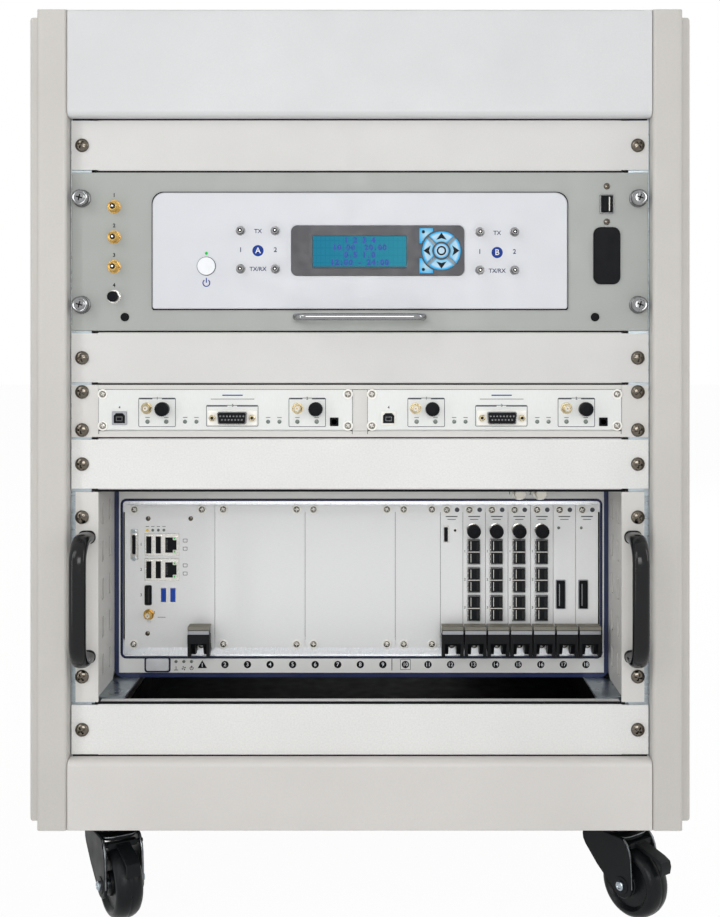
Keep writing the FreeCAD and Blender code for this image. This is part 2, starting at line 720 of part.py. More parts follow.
def make_fork(corner, braked):
    """Pressed fork about the swivel axis, with its axle bolt."""
    name = f"caster_fork_{corner}"
    body = new_body(name + "_press")
    leg = sketch_on(body, name + "_leg", "side", "0")
    drop = "(-wheel_trail)"
    draw_polygon(leg, [
        ("18", "crown_height + 4"),
        ("18", "crown_height - 8"),
        (f"{drop} + 8", "axle_height - 8"),
        (f"{drop} - 2", "axle_height - 11"),
        (f"{drop} - 10", "axle_height - 6"),
        (f"{drop} - 11.5", "axle_height + 6"),
        (f"{drop} - 9", "crown_height - 8"),
        (f"{drop}", "crown_height + 4"),
    ])
    pad(body, name + "_width", leg, "fork_width", both=True)
    throat = sketch_on(body, name + "_throat", "front", "-wheel_trail - 40")
    draw_rectangle(throat, ("-fork_gap / 2", "fork_gap / 2"), ("0", "crown_height"))
    pocket(body, name + "_slot", throat, "wheel_trail + 80")
    if braked:
        pivot = sketch_on(body, name + "_pivot", "side", "fork_width / 2 + 1")
        draw_octagon(pivot, f"{drop} - 4", "crown_height - 2.6", "2")
        pocket(body, name + "_pivot_bore", pivot, "fork_width + 2")
    hole = sketch_on(body, name + "_king", "top", "crown_height + 5")
    draw_octagon(hole, "0", "0", "4.8")
    pocket(body, name + "_king_bore", hole, "8")
    axle = rod(name + "_axle", "x", "axle_radius", "fork_width", "-fork_width / 2", drop, "axle_height")
    head = prism(name + "_head", "x", 6, "7", "3.2", "-fork_width / 2 - 3.2", drop, "axle_height")
    nut = prism(name + "_nut", "x", 6, "7", "4", "fork_width / 2", drop, "axle_height")
    return node(name, put_on_swivel(fuse(name, body, axle, head, nut), corner))


def make_wheel(corner):
    """Solid wheel with bevelled shoulders, bored for the axle."""
    name = f"caster_wheel_{corner}"
    tyre = prism(name + "_tyre", "x", 36, "wheel_radius", "wheel_width", "-wheel_width / 2", "0", "0")
    ends = size("wheel_width / 2")
    rim = bevel_solid(name + "_rim", tyre, "4", lambda e: abs(abs(middle(e).x) - ends) < 0.01)
    bore = rod(name + "_bore", "x", "axle_radius + 0.25", "wheel_width + 2", "-wheel_width / 2 - 1", "0", "0")
    wheel = put_on_swivel(cut(name, rim, bore), corner)
    sign, y, yaw = CASTERS[corner]
    bind(wheel, base_x=f"{sign} * caster_span / 2 + wheel_trail * sin({yaw} * 1deg)",
         base_y=f"{y} - wheel_trail * cos({yaw} * 1deg)", base_z="axle_height")
    return node(name, wheel)


def make_brake(corner):
    """Pedal that presses on the tread, hinged between the fork legs."""
    name = f"brake_lever_{corner}"
    body = new_body(name + "_press")
    side = sketch_on(body, name + "_side", "side", "0")
    start = "(-wheel_trail - 4)"
    draw_polygon(side, [
        (f"{start} + 3", "crown_height - 5"),
        (f"{start} + 3", "crown_height - 0.6"),
        (f"{start} - 4", "crown_height - 0.6"),
        (f"{start} - pedal_length + 4", "crown_height - 8"),
        (f"{start} - pedal_length", "crown_height - 8.4"),
        (f"{start} - pedal_length - 0.6", "crown_height - 11"),
        (f"{start} - pedal_length + 3", "crown_height - 11.4"),
        (f"{start} - 5", "crown_height - 5"),
    ])
    pad(body, name + "_width", side, "fork_gap - 1.2", both=True)
    pin = prism(name + "_pin", "x", 12, "1.6", "fork_width + 1", "-fork_width / 2 - 0.5", start, "crown_height - 2.6")
    lever = fuse(name, body, pin)
    return node(name, put_on_swivel(lever, corner))


# ---------------------------------------------------------------- test station
def make_station_case():
    z = ("station_mid - 1.5 * rack_unit + 2", "station_mid + 1.5 * rack_unit - 2")
    case = block("station_box", ("-station_width / 2", "station_width / 2"),
                 ("rail_face + 1", "rail_face + 1 + station_depth"), z)
    return node("station_case", soften("station_case", case, "2", lambda e: along(e, 1)))


def make_station_front():
    half = "(1.5 * rack_unit - panel_gap / 2)"
    body = plate("station_front", ("-panel_width / 2", "panel_width / 2"),
                 (f"station_mid - {half}", f"station_mid + {half}"), "panel_face", "panel_thickness + 1")
    step = sketch_on(body, "station_step", "front", "rail_face")
    for sign in (-1, 1):
        u = ("station_width / 2", "panel_width / 2 + 1") if sign > 0 else ("-panel_width / 2 - 1", "-station_width / 2")
        draw_rectangle(step, u, (f"station_mid - {half} - 1", f"station_mid + {half} + 1"))
    pocket(body, "station_ears", step, "3")
    face = size("panel_face")
    bevel(body, "station_front_edges", "0.6", lambda e: lies(e, 1, face))
    return node("station_front_panel", body)


def make_fascia():
    """Raised front plate with openings for the display and the power button."""
    body = plate("fascia", ("-fascia_width / 2", "fascia_width / 2"),
                 ("station_mid - fascia_below", "station_mid + fascia_above"), "fascia_face", "fascia_thickness",
                 ("2", "2", "10", "10"))
    window = sketch_on(body, "fascia_window", "front", "fascia_face - 1")
    draw_rounded(window, ("-57.5", "bezel_right + 0.3"), ("bezel_bottom - 0.3", "bezel_top + 0.3"), "5.2")
    draw_circle(window, "station_button_x", "station_mid + station_button_z", "station_button_radius + key_gap")
    pocket(body, "fascia_openings", window, "fascia_thickness + 2")
    face = size("fascia_face")
    bevel(body, "fascia_edges", "0.8", lambda e: lies(e, 1, face) and (
        abs(middle(e).x) > size("fascia_width / 2 - 11") or abs(middle(e).z - size("station_mid")) > 40))
    return node("station_fascia", body)


CORNER_X = ("keypad_x - keypad_radius - 2.3", "keypad_x - 7.1")
CORNER_KEYS = (
    ("key_menu", "keypad_z + 6.2", "keypad_z + keypad_radius + 2.7"),
    ("key_back", "keypad_z - keypad_radius - 2.7", "keypad_z - 6.4"),
)


def make_display():
    """Dark bezel with a window, and the wells that the keys move in."""
    body = plate("bezel", ("-57.2", "bezel_right"), ("bezel_bottom", "bezel_top"), "bezel_face",
                 "bezel_thickness", "4.9")
    wells = sketch_on(body, "bezel_wells", "front", "bezel_face - 1")
    draw_rectangle(wells, ("-39.6", "39.1"), ("station_mid - 12.9", "station_mid + 13.1"))
    draw_circle(wells, "keypad_x", "station_mid + keypad_z", "keypad_radius + key_gap")
    pocket(body, "bezel_openings", wells, "bezel_thickness + 2")
    corners = []
    for i, (_, low, high) in enumerate(CORNER_KEYS):
        well = block(f"corner_well_{i}", (f"{CORNER_X[0]} - key_gap", f"{CORNER_X[1]} + key_gap"),
                     ("bezel_face - 1", "panel_face + 1"),
                     (f"station_mid + {low} - key_gap", f"station_mid + {high} + key_gap"))
        core = rod(f"corner_core_{i}", "y", "keypad_radius + 1.6 - key_gap", "bezel_thickness + 2", "keypad_x",
                   "bezel_face - 1", "station_mid + keypad_z")
        corners.append(cut(f"corner_cut_{i}", well, core))
    guide = cut("select_guide", prism("guide_outer", "y", 24, "keypad_inner - key_gap", "bezel_thickness - 0.4",
                                      "keypad_x", "bezel_face + 0.4", "station_mid + keypad_z"),
                prism("guide_bore", "y", 24, "(select_radius + key_gap) / cos(7.5deg)", "bezel_thickness + 1",
                      "keypad_x", "bezel_face", "station_mid + keypad_z"))
    node("display_bezel", group("display_bezel", cut("bezel_with_wells", body, *corners), guide))
    glass = block("lcd_glass", ("-39.3", "38.8"), ("bezel_face + 1", "panel_face"),
                  ("station_mid - 12.6", "station_mid + 12.8"))
    node("display_screen", glass)


def make_keys():
    """Four arc keys round a centre key, and two corner keys shaped round them."""
    back = "bezel_thickness + key_height - key_travel - 1.2"
    turn_to_front = Rotation(Vector(1, 0, 0), 90)
    for i, name in enumerate(("key_right", "key_up", "key_left", "key_down")):
        ring = cut(name + "_ring", rod(name + "_outer", "z", "keypad_radius", back, "0", "0", "0"),
                   rod(name + "_inner", "z", "keypad_inner", f"{back} + 2", "0", "0", "-1"))
        wedge = block(name + "_wedge", ("0", "keypad_radius"), ("0", "keypad_radius"), ("-1", f"{back} + 1"))
        wedge.Placement = Placement(Vector(), Rotation(Vector(0, 0, 1), -45 + 90 * i))
        shift = "keypad_slit / sqrt(2)"
        bind(wedge, base_x=f"{shift} * cos({90 * i}deg)", base_y=f"{shift} * sin({90 * i}deg)", base_z="-1")
        key = add("Part::Common", name)
        key.Base = ring
        key.Tool = wedge
        key.Placement = Placement(Vector(), turn_to_front)
        bind(key, base_x="keypad_x", base_z="station_mid + keypad_z", base_y=f"bezel_face - key_height + {back}")
        node(name, key)
    front = ("bezel_face - key_height", f"bezel_face - key_height + {back}")
    node("key_select", prism("key_select", "y", 36, "select_radius", back, "keypad_x", front[0], "station_mid + keypad_z"))
    for name, low, high in CORNER_KEYS:
        square = block(name + "_square", CORNER_X, front, (f"station_mid + {low}", f"station_mid + {high}"))
        core = rod(name + "_core", "y", "keypad_radius + 1.6", f"{back} + 2", "keypad_x", f"{front[0]} - 1",
                   "station_mid + keypad_z")
        node(name, cut(name, square, core))


def make_station_button():
    node("station_power_button", stepped(
        "station_power", ((40, "station_button_radius", "0.6 + key_travel", "fascia_thickness + 1.6"),),
        "station_button_x", "panel_face", "station_mid + station_button_z"))


def make_pull_handle():
    """Thin bow across the lower edge of the front panel."""
    node("station_handle", bow_handle("station_handle", "top", "station_mid - pull_drop",
                                      ("-pull_span / 2", "pull_span / 2"), "pull_reach", "2 * pull_radius",
                                      "2 * pull_radius", "pull_bend"))


SMALL_JACK = ((6, "4.9", "0", "2.4"), (12, "3.6", "2.4", "8.4"))
COAX_JACK = ((6, "6.4", "0", "2.6"), (12, "4.7", "2.6", "11"))
CAPPED_JACK = ((6, "5.2", "0", "1.4"), (12, "6", "1.4", "10.4"))


def make_station_connectors():
    """Jacks, plugs, the data socket and the rounded cover on the station's front."""
    pieces = []
    for i, (x, z) in enumerate(((-99.6, 17.3), (-70.6, 17.3), (-99.6, -14.6), (-70.6, -14.6),
                                (100.2, 16.2), (129.1, 16.2), (100.2, -15.7), (129.1, -15.7))):
        pieces.append(stepped(f"rf_jack_{i}", SMALL_JACK, str(x), "fascia_face", f"station_mid + ({z})"))
    for i, z in enumerate((37.5, 12.1, -12.6, -37.8)):
        pieces.append(stepped(f"coax_{i}", COAX_JACK, "-205.7", "panel_face", f"station_mid + ({z})"))
    for i, x in enumerate((-196.7, 196.7)):
        pieces.append(stepped(f"plug_{i}", ((12, "3.35", "0", "1.5"),), str(x), "panel_face", "station_mid - 54.8"))
    socket = block("data_socket", ("200.9", "212.2"), ("panel_face - 2.5", "panel_face"),
                   ("station_mid + 31.9", "station_mid + 47.7"))
    cover = plate("round_cover", ("195.2", "217.7"), ("station_mid - 27.4", "station_mid + 20.4"),
                  "panel_face - 2.2", "2.2", "7")
    node("station_connectors", group("station_connectors", socket, cover, *pieces))


# ---------------------------------------------------------------- radio tray
def make_radio_tray():
    """Folded shelf with ears; its side walls carry the two radio units."""
    low = "(radio_mid - rack_unit / 2 + panel_gap / 2)"
    high = "(radio_mid + rack_unit / 2 - panel_gap / 2)"
    wall = "rail_opening / 2 - 2"
    y = ("panel_face", "panel_face + tray_depth")
    pieces = [block("tray_floor", (f"-({wall})", wall), y, (low, f"{low} + sheet")),
              block("tray_lip", (f"-({wall})", wall), (y[0], f"{y[0]} + panel_thickness"), (low, f"{low} + 5")),
              block("tray_back", (f"-({wall})", wall), (f"{y[1]} - sheet", y[1]), (low, f"{low} + 20"))]
    for side, sign in (("left", -1), ("right", 1)):
        walls = (wall, f"{wall} - sheet") if sign < 0 else (f"{wall} - sheet", wall)
        outer = [f"{sign} * ({t})" for t in walls]
        ears = ("-panel_width / 2", f"-({wall}) + ear_root") if sign < 0 else (f"{wall} - ear_root", "panel_width / 2")
        pieces.append(block(f"tray_wall_{side}", outer, y, (low, high)))
        pieces.append(block(f"tray_ear_{side}", ears, (y[0], f"{y[0]} + panel_thickness"), (low, high)))
    return node("radio_tray", fuse("radio_tray", *pieces))


def make_radio_units():
    """Two identical radio units: front plate and closed body."""
    pieces = []
    for side, sign in (("left", -1), ("right", 1)):
        x = f"({sign} * radio_spacing / 2)"
        front = plate(f"radio_plate_{side}", (f"{x} - radio_width / 2", f"{x} + radio_width / 2"),
                      ("radio_mid - radio_below", "radio_mid + radio_above"), "radio_face", "panel_thickness + 1")
        box = block(f"radio_body_{side}", (f"{x} - radio_width / 2 + 2", f"{x} + radio_width / 2 - 2"),
                    ("panel_face + panel_thickness", "radio_face + 190"),
                    ("radio_mid - rack_unit / 2 + panel_gap / 2 + sheet", "radio_mid + radio_above - 0.5"))
        pieces.append(fuse(f"radio_unit_{side}", front, box))
    node("radio_units", group("radio_units", *pieces))


def make_radio_connectors():
    """On each unit: two RF jacks with two capped ones, data socket, D connector and supply inlet."""
    pieces = []
    for side, sign in (("left", -1), ("right", 1)):
        centre = f"({sign} * radio_spacing / 2)"
        for i, x in enumerate((-65.9, 60.2)):
            pieces.append(stepped(f"radio_rf_{side}_{i}", SMALL_JACK, f"{centre} + ({x})", "radio_face", "radio_mid + 2.3"))
        for i, x in enumerate((-52.0, 75.7)):
            pieces.append(stepped(f"radio_cap_{side}_{i}", CAPPED_JACK, f"{centre} + ({x})", "radio_face",
                                  "radio_mid + 1.8"))
        usb = block(f"radio_usb_{side}", (f"{centre} - 94.8", f"{centre} - 82.2"), ("radio_face - 1.5", "radio_face"),
                    ("radio_mid - 11.6", "radio_mid - 0.2"))
        shell = new_body(f"radio_dsub_{side}")
        outline = sketch_on(shell, f"radio_dsub_{side}_outline", "front", "radio_face")
        draw_polygon(outline, [(f"{centre} - 4.7", "radio_mid - 10.8"), (f"{centre} + 16.7", "radio_mid - 10.8"),
                               (f"{centre} + 18.3", "radio_mid - 0.4"), (f"{centre} - 6.3", "radio_mid - 0.4")])
        pad(shell, f"radio_dsub_{side}_pad", outline, "4.6")
        inlet = stepped(f"radio_inlet_{side}", ((12, "3.6", "0", "2"),), f"{centre} + 91", "radio_face", "radio_mid - 9")
        pieces += [usb, shell, inlet]
        for i, x in enumerate((-10.9, 22.4)):
            pieces.append(stepped(f"radio_stud_{side}_{i}", ((6, "2.8", "0", "5"),), f"{centre} + ({x})", "radio_face",
                                  "radio_mid - 5.6"))
    node("radio_connectors", group("radio_connectors", *pieces))


# ---------------------------------------------------------------- card chassis
CHASSIS_Z = ("chassis_bottom", "chassis_bottom + chassis_height")


def make_chassis_case():
    """Closed chassis body with the shallow front bay that the cards close."""
    case = block("chassis_box", ("-chassis_width / 2", "chassis_width / 2"),
                 ("chassis_face + 3", "chassis_face + chassis_depth"), CHASSIS_Z)
    bay = block("card_bay", ("-cage_half_width", "cage_half_width"), ("chassis_face + 2", "chassis_face + cage_depth"),
                ("chassis_mid - cage_low", "chassis_mid + cage_high"))
    return node("chassis_case", cut("chassis_case", case, bay))


def make_chassis_bezel():
    """Front frame round the card cage, with a raised outer trim."""
    body = plate("chassis_frame", ("-chassis_width / 2", "chassis_width / 2"), CHASSIS_Z, "chassis_face", "3",
                 ("chassis_radius", "chassis_radius", "2", "2"))
    opening = sketch_on(body, "cage_opening", "front", "chassis_face - 1")
    draw_rectangle(opening, ("-cage_half_width", "cage_half_width"),
                   ("chassis_mid - cage_low", "chassis_mid + cage_high"))
    pocket(body, "cage_cut", opening, "5")
    button = sketch_on(body, "button_opening", "front", "chassis_face - 1")
    draw_rounded(button, ("-194.1", "-173.2"), ("chassis_mid - 82.7", "chassis_mid - 71.3"), "2")
    pocket(body, "button_cut", button, "5")
    trim = plate("chassis_trim", ("-chassis_width / 2", "chassis_width / 2"), CHASSIS_Z, "chassis_face - 1.2", "1.2",
                 ("chassis_radius", "chassis_radius", "2", "2"))
    inner = sketch_on(trim, "trim_inner", "front", "chassis_face - 2")
    draw_rectangle(inner, ("-chassis_width / 2 + trim_width", "chassis_width / 2 - trim_width"),
                   (f"{CHASSIS_Z[0]} + trim_width", f"{CHASSIS_Z[1]} - trim_width"))
    pocket(trim, "trim_cut", inner, "4")
    jacks = [stepped(f"reference_jack_{i}", COAX_JACK, x, "chassis_face", "chassis_mid + 77.5")
             for i, x in enumerate(("142", "160.7"))]
    node("chassis_bezel", group("chassis_bezel", body, trim, *jacks))


def make_card_cage():
    """Upper and lower extruded rails that the card fronts screw to."""
    y = ("chassis_face + 3", "chassis_face + cage_depth - 1")
    x = ("-cage_half_width", "cage_half_width")
    rails = []
    for name, z, step in (("lower", ("chassis_mid - cage_low", "chassis_mid - module_low - 0.4"), 1),
                          ("upper", ("chassis_mid + module_high + 0.4", "chassis_mid + cage_high"), -1)):
        front = block(f"{name}_nose", x, y, z)
        tongue_z = (z[1], f"{z[1]} + 7") if step > 0 else (f"{z[0]} - 7", z[0])
        tongue = block(f"{name}_tongue", x, ("chassis_face + 0.5 + module_thickness", "chassis_face + 12"), tongue_z)
        rails.append(fuse(f"{name}_rail", front, tongue))
    node("card_cage_rails", group("card_cage_rails", *rails))


def card_front(name, slots_before, slots):
    """The flat front of a card that takes a number of slots."""
    left = f"(slot_origin + {slots_before} * slot_pitch)"
    return plate(name, (f"{left} + slot_seam / 2", f"{left} + {slots} * slot_pitch - slot_seam / 2"),
                 ("chassis_mid - module_low", "chassis_mid + module_high"), "chassis_face + 0.5", "module_thickness")


def make_cards():
    controller = card_front("controller_front", 0, 4)
    for name, u, v, radius in (("reset_hole", "-191.3", "chassis_mid - 38.2", "1.6 + key_gap / 2"),):
        hole = sketch_on(controller, name, "front", "chassis_face")
        draw_circle(hole, u, v, radius)
        pocket(controller, name + "_cut", hole, "module_thickness + 2")
    node("controller_module", controller)
    fronts = [card_front("filler_1", 4, 4), card_front("filler_2", 8, 4), card_front("filler_3", 12, 2)]
    fronts += [card_front(f"card_{12 + i}", 14 + i, 1) for i in range(7)]
    node("module_panels", group("module_panels", *fronts))


def make_module_ports():
    """Sockets and jacks standing on the card fronts."""
    face = "chassis_face + 0.5"
    pieces = []

    def port(name, x, z, reach):
        pieces.append(block(name, [str(t) for t in x], (f"{face} - {reach}", face),
                            [f"chassis_mid + ({t})" for t in z]))

    port("d_port", (-207.1, -201.8), (21.9, 41.1), 3)
    port("stack_1", (-195.4, -164.3), (20.8, 40.9), 1.2)
    port("stack_2", (-195.4, -164.3), (-1.6, 18.4), 1.2)
    port("video_port", (-195.1, -189.1), (-23.4, -5.9), 0.8)
    port("usb_1", (-180.8, -175.6), (-21.0, -7.9), 0.8)
    port("usb_2", (-172.4, -167.1), (-21.0, -7.9), 0.8)
    pieces.append(stepped("trigger_jack", SMALL_JACK, "-191.6", face, "chassis_mid - 32.1"))
    port("slim_port_12", (74.2, 78.0), (33.3, 47.0), 1.5)
    pieces.append(stepped("clock_jack", ((12, "3.4", "0", "6.4"),), "84.4", face, "chassis_mid + 43.7"))
    for i in range(4):
        shift = f"({i} * slot_pitch)"
        x = f"101.9 + {shift}"
        pieces.append(stepped(f"cap_{13 + i}", CAPPED_JACK, x, face, "chassis_mid + 42.2"))
        for j, (low, high) in enumerate(((13.6, 35.9), (-11.8, 10.7), (-37.3, -14.4))):
            pieces.append(block(f"port_{13 + i}_{j}", (f"95.5 + {shift}", f"106.8 + {shift}"), (f"{face} - 5", face),
                                (f"chassis_mid + ({low})", f"chassis_mid + ({high})")))
    for i in range(2):
        shift = f"({i} * slot_pitch)"
        pieces.append(block(f"data_port_{17 + i}", (f"175.7 + {shift}", f"183.2 + {shift}"), (f"{face} - 2.5", face),
                            ("chassis_mid - 26.4", "chassis_mid - 1.5")))
    node("module_ports", group("module_ports", *pieces))


def make_ejectors():
    """Injector handles at the foot of the controller and of each card."""
    pivot_z = "(chassis_mid - ejector_low + 2.5)"
    face = "(chassis_face + 0.5)"
    centres = ["-144.15"] + [f"slot_origin + {14 + i} * slot_pitch + slot_pitch / 2" for i in range(7)]
    for number, centre in enumerate(centres, start=1):
        name = f"ejector_{number}"
        body = new_body(name)
        side = sketch_on(body, name + "_side", "side", centre)
        draw_polygon(side, [
            (f"{face} - 0.4", pivot_z),
            (f"{face} - 1.2", f"{pivot_z} - 2.1"),
            (f"{face} - 3.4", f"{pivot_z} - 3"),
            (f"{face} - ejector_reach * 0.55", f"{pivot_z} - 2.5"),
            (f"{face} - ejector_reach", f"{pivot_z} + 9"),
            (f"{face} - ejector_reach", "chassis_mid - ejector_high - 3"),
            (f"{face} - ejector_reach + 3", "chassis_mid - ejector_high"),
            (f"{face} - 8", "chassis_mid - ejector_high - 2"),
            (f"{face} - 5.5", f"{pivot_z} + 8"),
            (f"{face} - 0.4", f"{pivot_z} + 5"),
        ])
        pad(body, name + "_width", side, "ejector_width", both=True)
        fork = sketch_on(body, name + "_fork", "front", f"{face} - ejector_reach - 1")
        draw_rectangle(fork, (f"{centre} - 3.6", f"{centre} + 3.6"), (f"{pivot_z} - 4", f"{pivot_z} + 7"))
        pocket(body, name + "_cut", fork, "ejector_reach + 2")
        node(name, body)


def make_chassis_buttons():
    node("chassis_power_button", plate("chassis_power", ("-193.8", "-173.5"), ("chassis_mid - 82.4", "chassis_mid - 71.6"),
                                       "chassis_face - 1.2", "3", "1.8"))
    node("reset_button", prism("reset_button", "y", 12, "1.6", "2.4", "-191.3", "chassis_face", "chassis_mid - 38.2"))


def make_brackets():
    """Slotted side brackets with a front flange each, which carry the chassis at the rails."""
    brackets = []
    z = ("chassis_bottom + 0.3", "chassis_bottom + chassis_height - 0.5")
    for side, sign in (("left", -1), ("right", 1)):
        name = f"bracket_{side}"
        wall = ("chassis_width / 2", "chassis_width / 2 + sheet")
        body = new_body(name)
        level = wall[1] if sign > 0 else f"-({wall[0]})"
        profile = sketch_on(body, name + "_profile", "side", level)
        draw_polygon(profile, [
            ("panel_face", z[0]),
            ("panel_face + bracket_length * 0.6", z[0]),
            ("panel_face + bracket_length", f"{z[0]} + 30"),
            ("panel_face + bracket_length", f"{z[1]} - 30"),
            ("panel_face + bracket_length * 0.6", z[1]),
            ("panel_face", z[1]),
        ])
        pad(body, name + "_wall", profile, "sheet", back=True)
        slot = sketch_on(body, name + "_slot", "side", f"{level} + 1")
        for row in ("panel_face + 34", "panel_face + 62"):
            draw_rectangle(slot, (f"{row} - 4", f"{row} + 4"), (f"{z[0]} + 14", f"{z[0]} + 32"))
        cut_slot = pocket(body, name + "_slot_cut", slot, "sheet + 2")
        repeat(body, name + "_slots", cut_slot, "Z_Axis", "chassis_height - 46", "5")
        flange = sketch_on(body, name + "_flange", "front", "panel_face")
        u = ("bracket_inner", "bracket_outer") if sign > 0 else ("-bracket_outer", "-bracket_inner")
        draw_rectangle(flange, u, z)
        pad(body, name + "_flange_pad", flange, "panel_thickness", back=True)
        brackets.append(body)
    node("chassis_brackets", group("chassis_brackets", *brackets))


def make_chassis_handles():
    """Moulded bow handles on the bracket flanges."""
    span = ("(chassis_mid - handle_span / 2)", "(chassis_mid + handle_span / 2)")
    bows = [bow_handle(f"bow_{side}", "side", f"{sign} * handle_centre", span, "handle_projection", "handle_thickness",
                       "handle_width", "handle_bend", "2.6") for side, sign in (("left", -1), ("right", 1))]
    node("chassis_handles", group("chassis_handles", *bows))


def make_support_angles():
    """Angles from front to rear rail that the chassis stands on."""
    angles = []
    near, far = "rail_face + panel_thickness", "rear_rail_face - panel_thickness"
    top = "chassis_bottom - 0.1"
    outer = "(rail_opening / 2 - 0.6)"
    spans = {
        "foot": ((f"{outer} - 24", outer), ("panel_face + blank_fold_depth + 2", far), (f"{top} - sheet", top)),
        "wall": ((f"{outer} - sheet", outer), (near, far), (f"{top} - 26", top)),
        "front_tab": ((f"{outer} - sheet", f"{outer} + 14"), (near, f"{near} + sheet"), (f"{top} - 26", top)),
        "rear_tab": ((f"{outer} - sheet", f"{outer} + 14"), (f"{far} - sheet", far), (f"{top} - 26", top)),
    }
    for side, sign in (("left", -1), ("right", 1)):
        pieces = []
        for part, (x, y, z) in spans.items():
            x = x if sign > 0 else (f"-({x[1]})", f"-({x[0]})")
            pieces.append(block(f"angle_{part}_{side}", x, y, z))
        angles.append(fuse(f"angle_{side}", *pieces))
    node("support_angles", group("support_angles", *angles))


# ---------------------------------------------------------------- build
for side, sign in (("left", -1), ("right", 1)):
    make_side_frame(f"side_frame_{side}", sign)
    make_side_panel(f"side_panel_{side}", sign)
make_base_frame()
make_top_cover()
channel("header_panel", "opening_top", "cabinet_top", ("trim_radius", "0.4", "0.4", "2"))
channel("plinth_panel", "caster_height", "opening_bottom", ("1", "0.4", "0.4", "trim_radius"))
make_rack_rails()
make_blank_panels()
make_rear_door()
make_door_latch()
make_caster_plates()
for corner in CASTERS:
    braked = corner in ("fl", "fr")
    make_fork(corner, braked)
    make_wheel(corner)
    if braked:
        make_brake(corner)
make_station_case()
make_station_front()
make_fascia()
make_display()
make_keys()
make_station_button()
make_pull_handle()
make_station_connectors()
make_radio_tray()
make_radio_units()
make_radio_connectors()
make_chassis_case()
make_chassis_bezel()
make_card_cage()
make_cards()
make_module_ports()
make_ejectors()
make_chassis_buttons()
make_brackets()
make_chassis_handles()
make_support_angles()
doc.recompute()

# ---------------------------------------------------------------- check and write
faults = [obj.Label for obj in doc.Objects if "Invalid" in obj.State or "Error" in obj.State]
for label, obj in nodes.items():
    if obj.Shape.isNull() or not obj.Shape.isValid() or not obj.Shape.Solids:
        faults.append(label)
if faults:
    raise RuntimeError("objects with faults: " + ", ".join(faults))
os.makedirs("parts", exist_ok=True)
for label, obj in nodes.items():
    obj.Shape.exportStep(f"parts/{label}.step")
whole = Part.makeCompound([obj.Shape for obj in nodes.values()]).BoundBox
print(f"{len(nodes)} sub-parts, {whole.XLength:.2f} x {whole.YLength:.2f} x {whole.ZLength:.2f} mm")
print(f"x {whole.XMin:.2f} {whole.XMax:.2f}, y {whole.YMin:.2f} {whole.YMax:.2f}, z {whole.ZMin:.2f} {whole.ZMax:.2f}")
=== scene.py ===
"""Looks of a twelve-unit instrument rack: finishes, screws, sockets, marks and lights."""
import math

import bmesh
import bpy
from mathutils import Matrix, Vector


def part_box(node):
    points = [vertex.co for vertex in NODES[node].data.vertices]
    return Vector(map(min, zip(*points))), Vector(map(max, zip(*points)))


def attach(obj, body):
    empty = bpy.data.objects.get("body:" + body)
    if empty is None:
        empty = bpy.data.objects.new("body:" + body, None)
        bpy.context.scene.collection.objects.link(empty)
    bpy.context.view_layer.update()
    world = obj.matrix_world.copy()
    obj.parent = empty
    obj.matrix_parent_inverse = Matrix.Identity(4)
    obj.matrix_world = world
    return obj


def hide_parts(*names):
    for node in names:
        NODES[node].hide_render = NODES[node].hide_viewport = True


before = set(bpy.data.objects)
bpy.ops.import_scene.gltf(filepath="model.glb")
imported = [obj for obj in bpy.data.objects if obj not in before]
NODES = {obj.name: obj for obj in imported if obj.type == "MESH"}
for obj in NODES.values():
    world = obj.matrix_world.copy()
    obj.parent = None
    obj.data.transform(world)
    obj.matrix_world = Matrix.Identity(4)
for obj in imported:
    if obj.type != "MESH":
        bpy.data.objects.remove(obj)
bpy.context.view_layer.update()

MM = 0.001


def low(node, axis):
    """Lowest place of a node along axis 0, 1 or 2, in millimetres."""
    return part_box(node)[0][axis] / MM


def high(node, axis):
    """Highest place of a node."""
    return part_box(node)[1][axis] / MM


def mid(node, axis):
    """Middle of a node."""
    return (low(node, axis) + high(node, axis)) / 2


# ------------------------------------------------------------ places, in millimetres
RACK_UNIT = 44.45       # height of one rack unit
HOLE_X = 232.55         # panel screws, from the middle
PANEL_Y = low("blank_panels", 1)
STATION_Z = mid("station_front_panel", 2)
FASCIA_Y = low("station_fascia", 1)
BEZEL_Y = low("display_bezel", 1)
LCD_Y = low("display_screen", 1)
RADIO_Z = mid("radio_tray", 2)
RADIO_Y = low("radio_units", 1)
CHASSIS_Z = mid("chassis_case", 2)
CARD_Y = low("module_panels", 1)
FRAME_Y = CARD_Y - 0.5
SLOT_PITCH = 20.32      # width of one card slot
SLOT_0 = -213.4         # left side of the controller, which is four slots wide
RADIO_X = 112.5         # middle of a radio unit's front
COAX_X, COAX_ROWS = -205.7, (37.5, 12.1, -12.6, -37.8)
SIGN_WIDE, ROW_HIGH = 3.78, 6.2     # one cell of the display
TIP = 0.02              # radius that closes a turned end
SHARP = math.radians(32)


# ------------------------------------------------------------ materials
def srgb(*rgb):
    """8-bit screen colour as linear."""
    return tuple(((c / 255 + 0.055) / 1.055) ** 2.4 if c > 10 else c / 255 / 12.92 for c in rgb) + (1,)


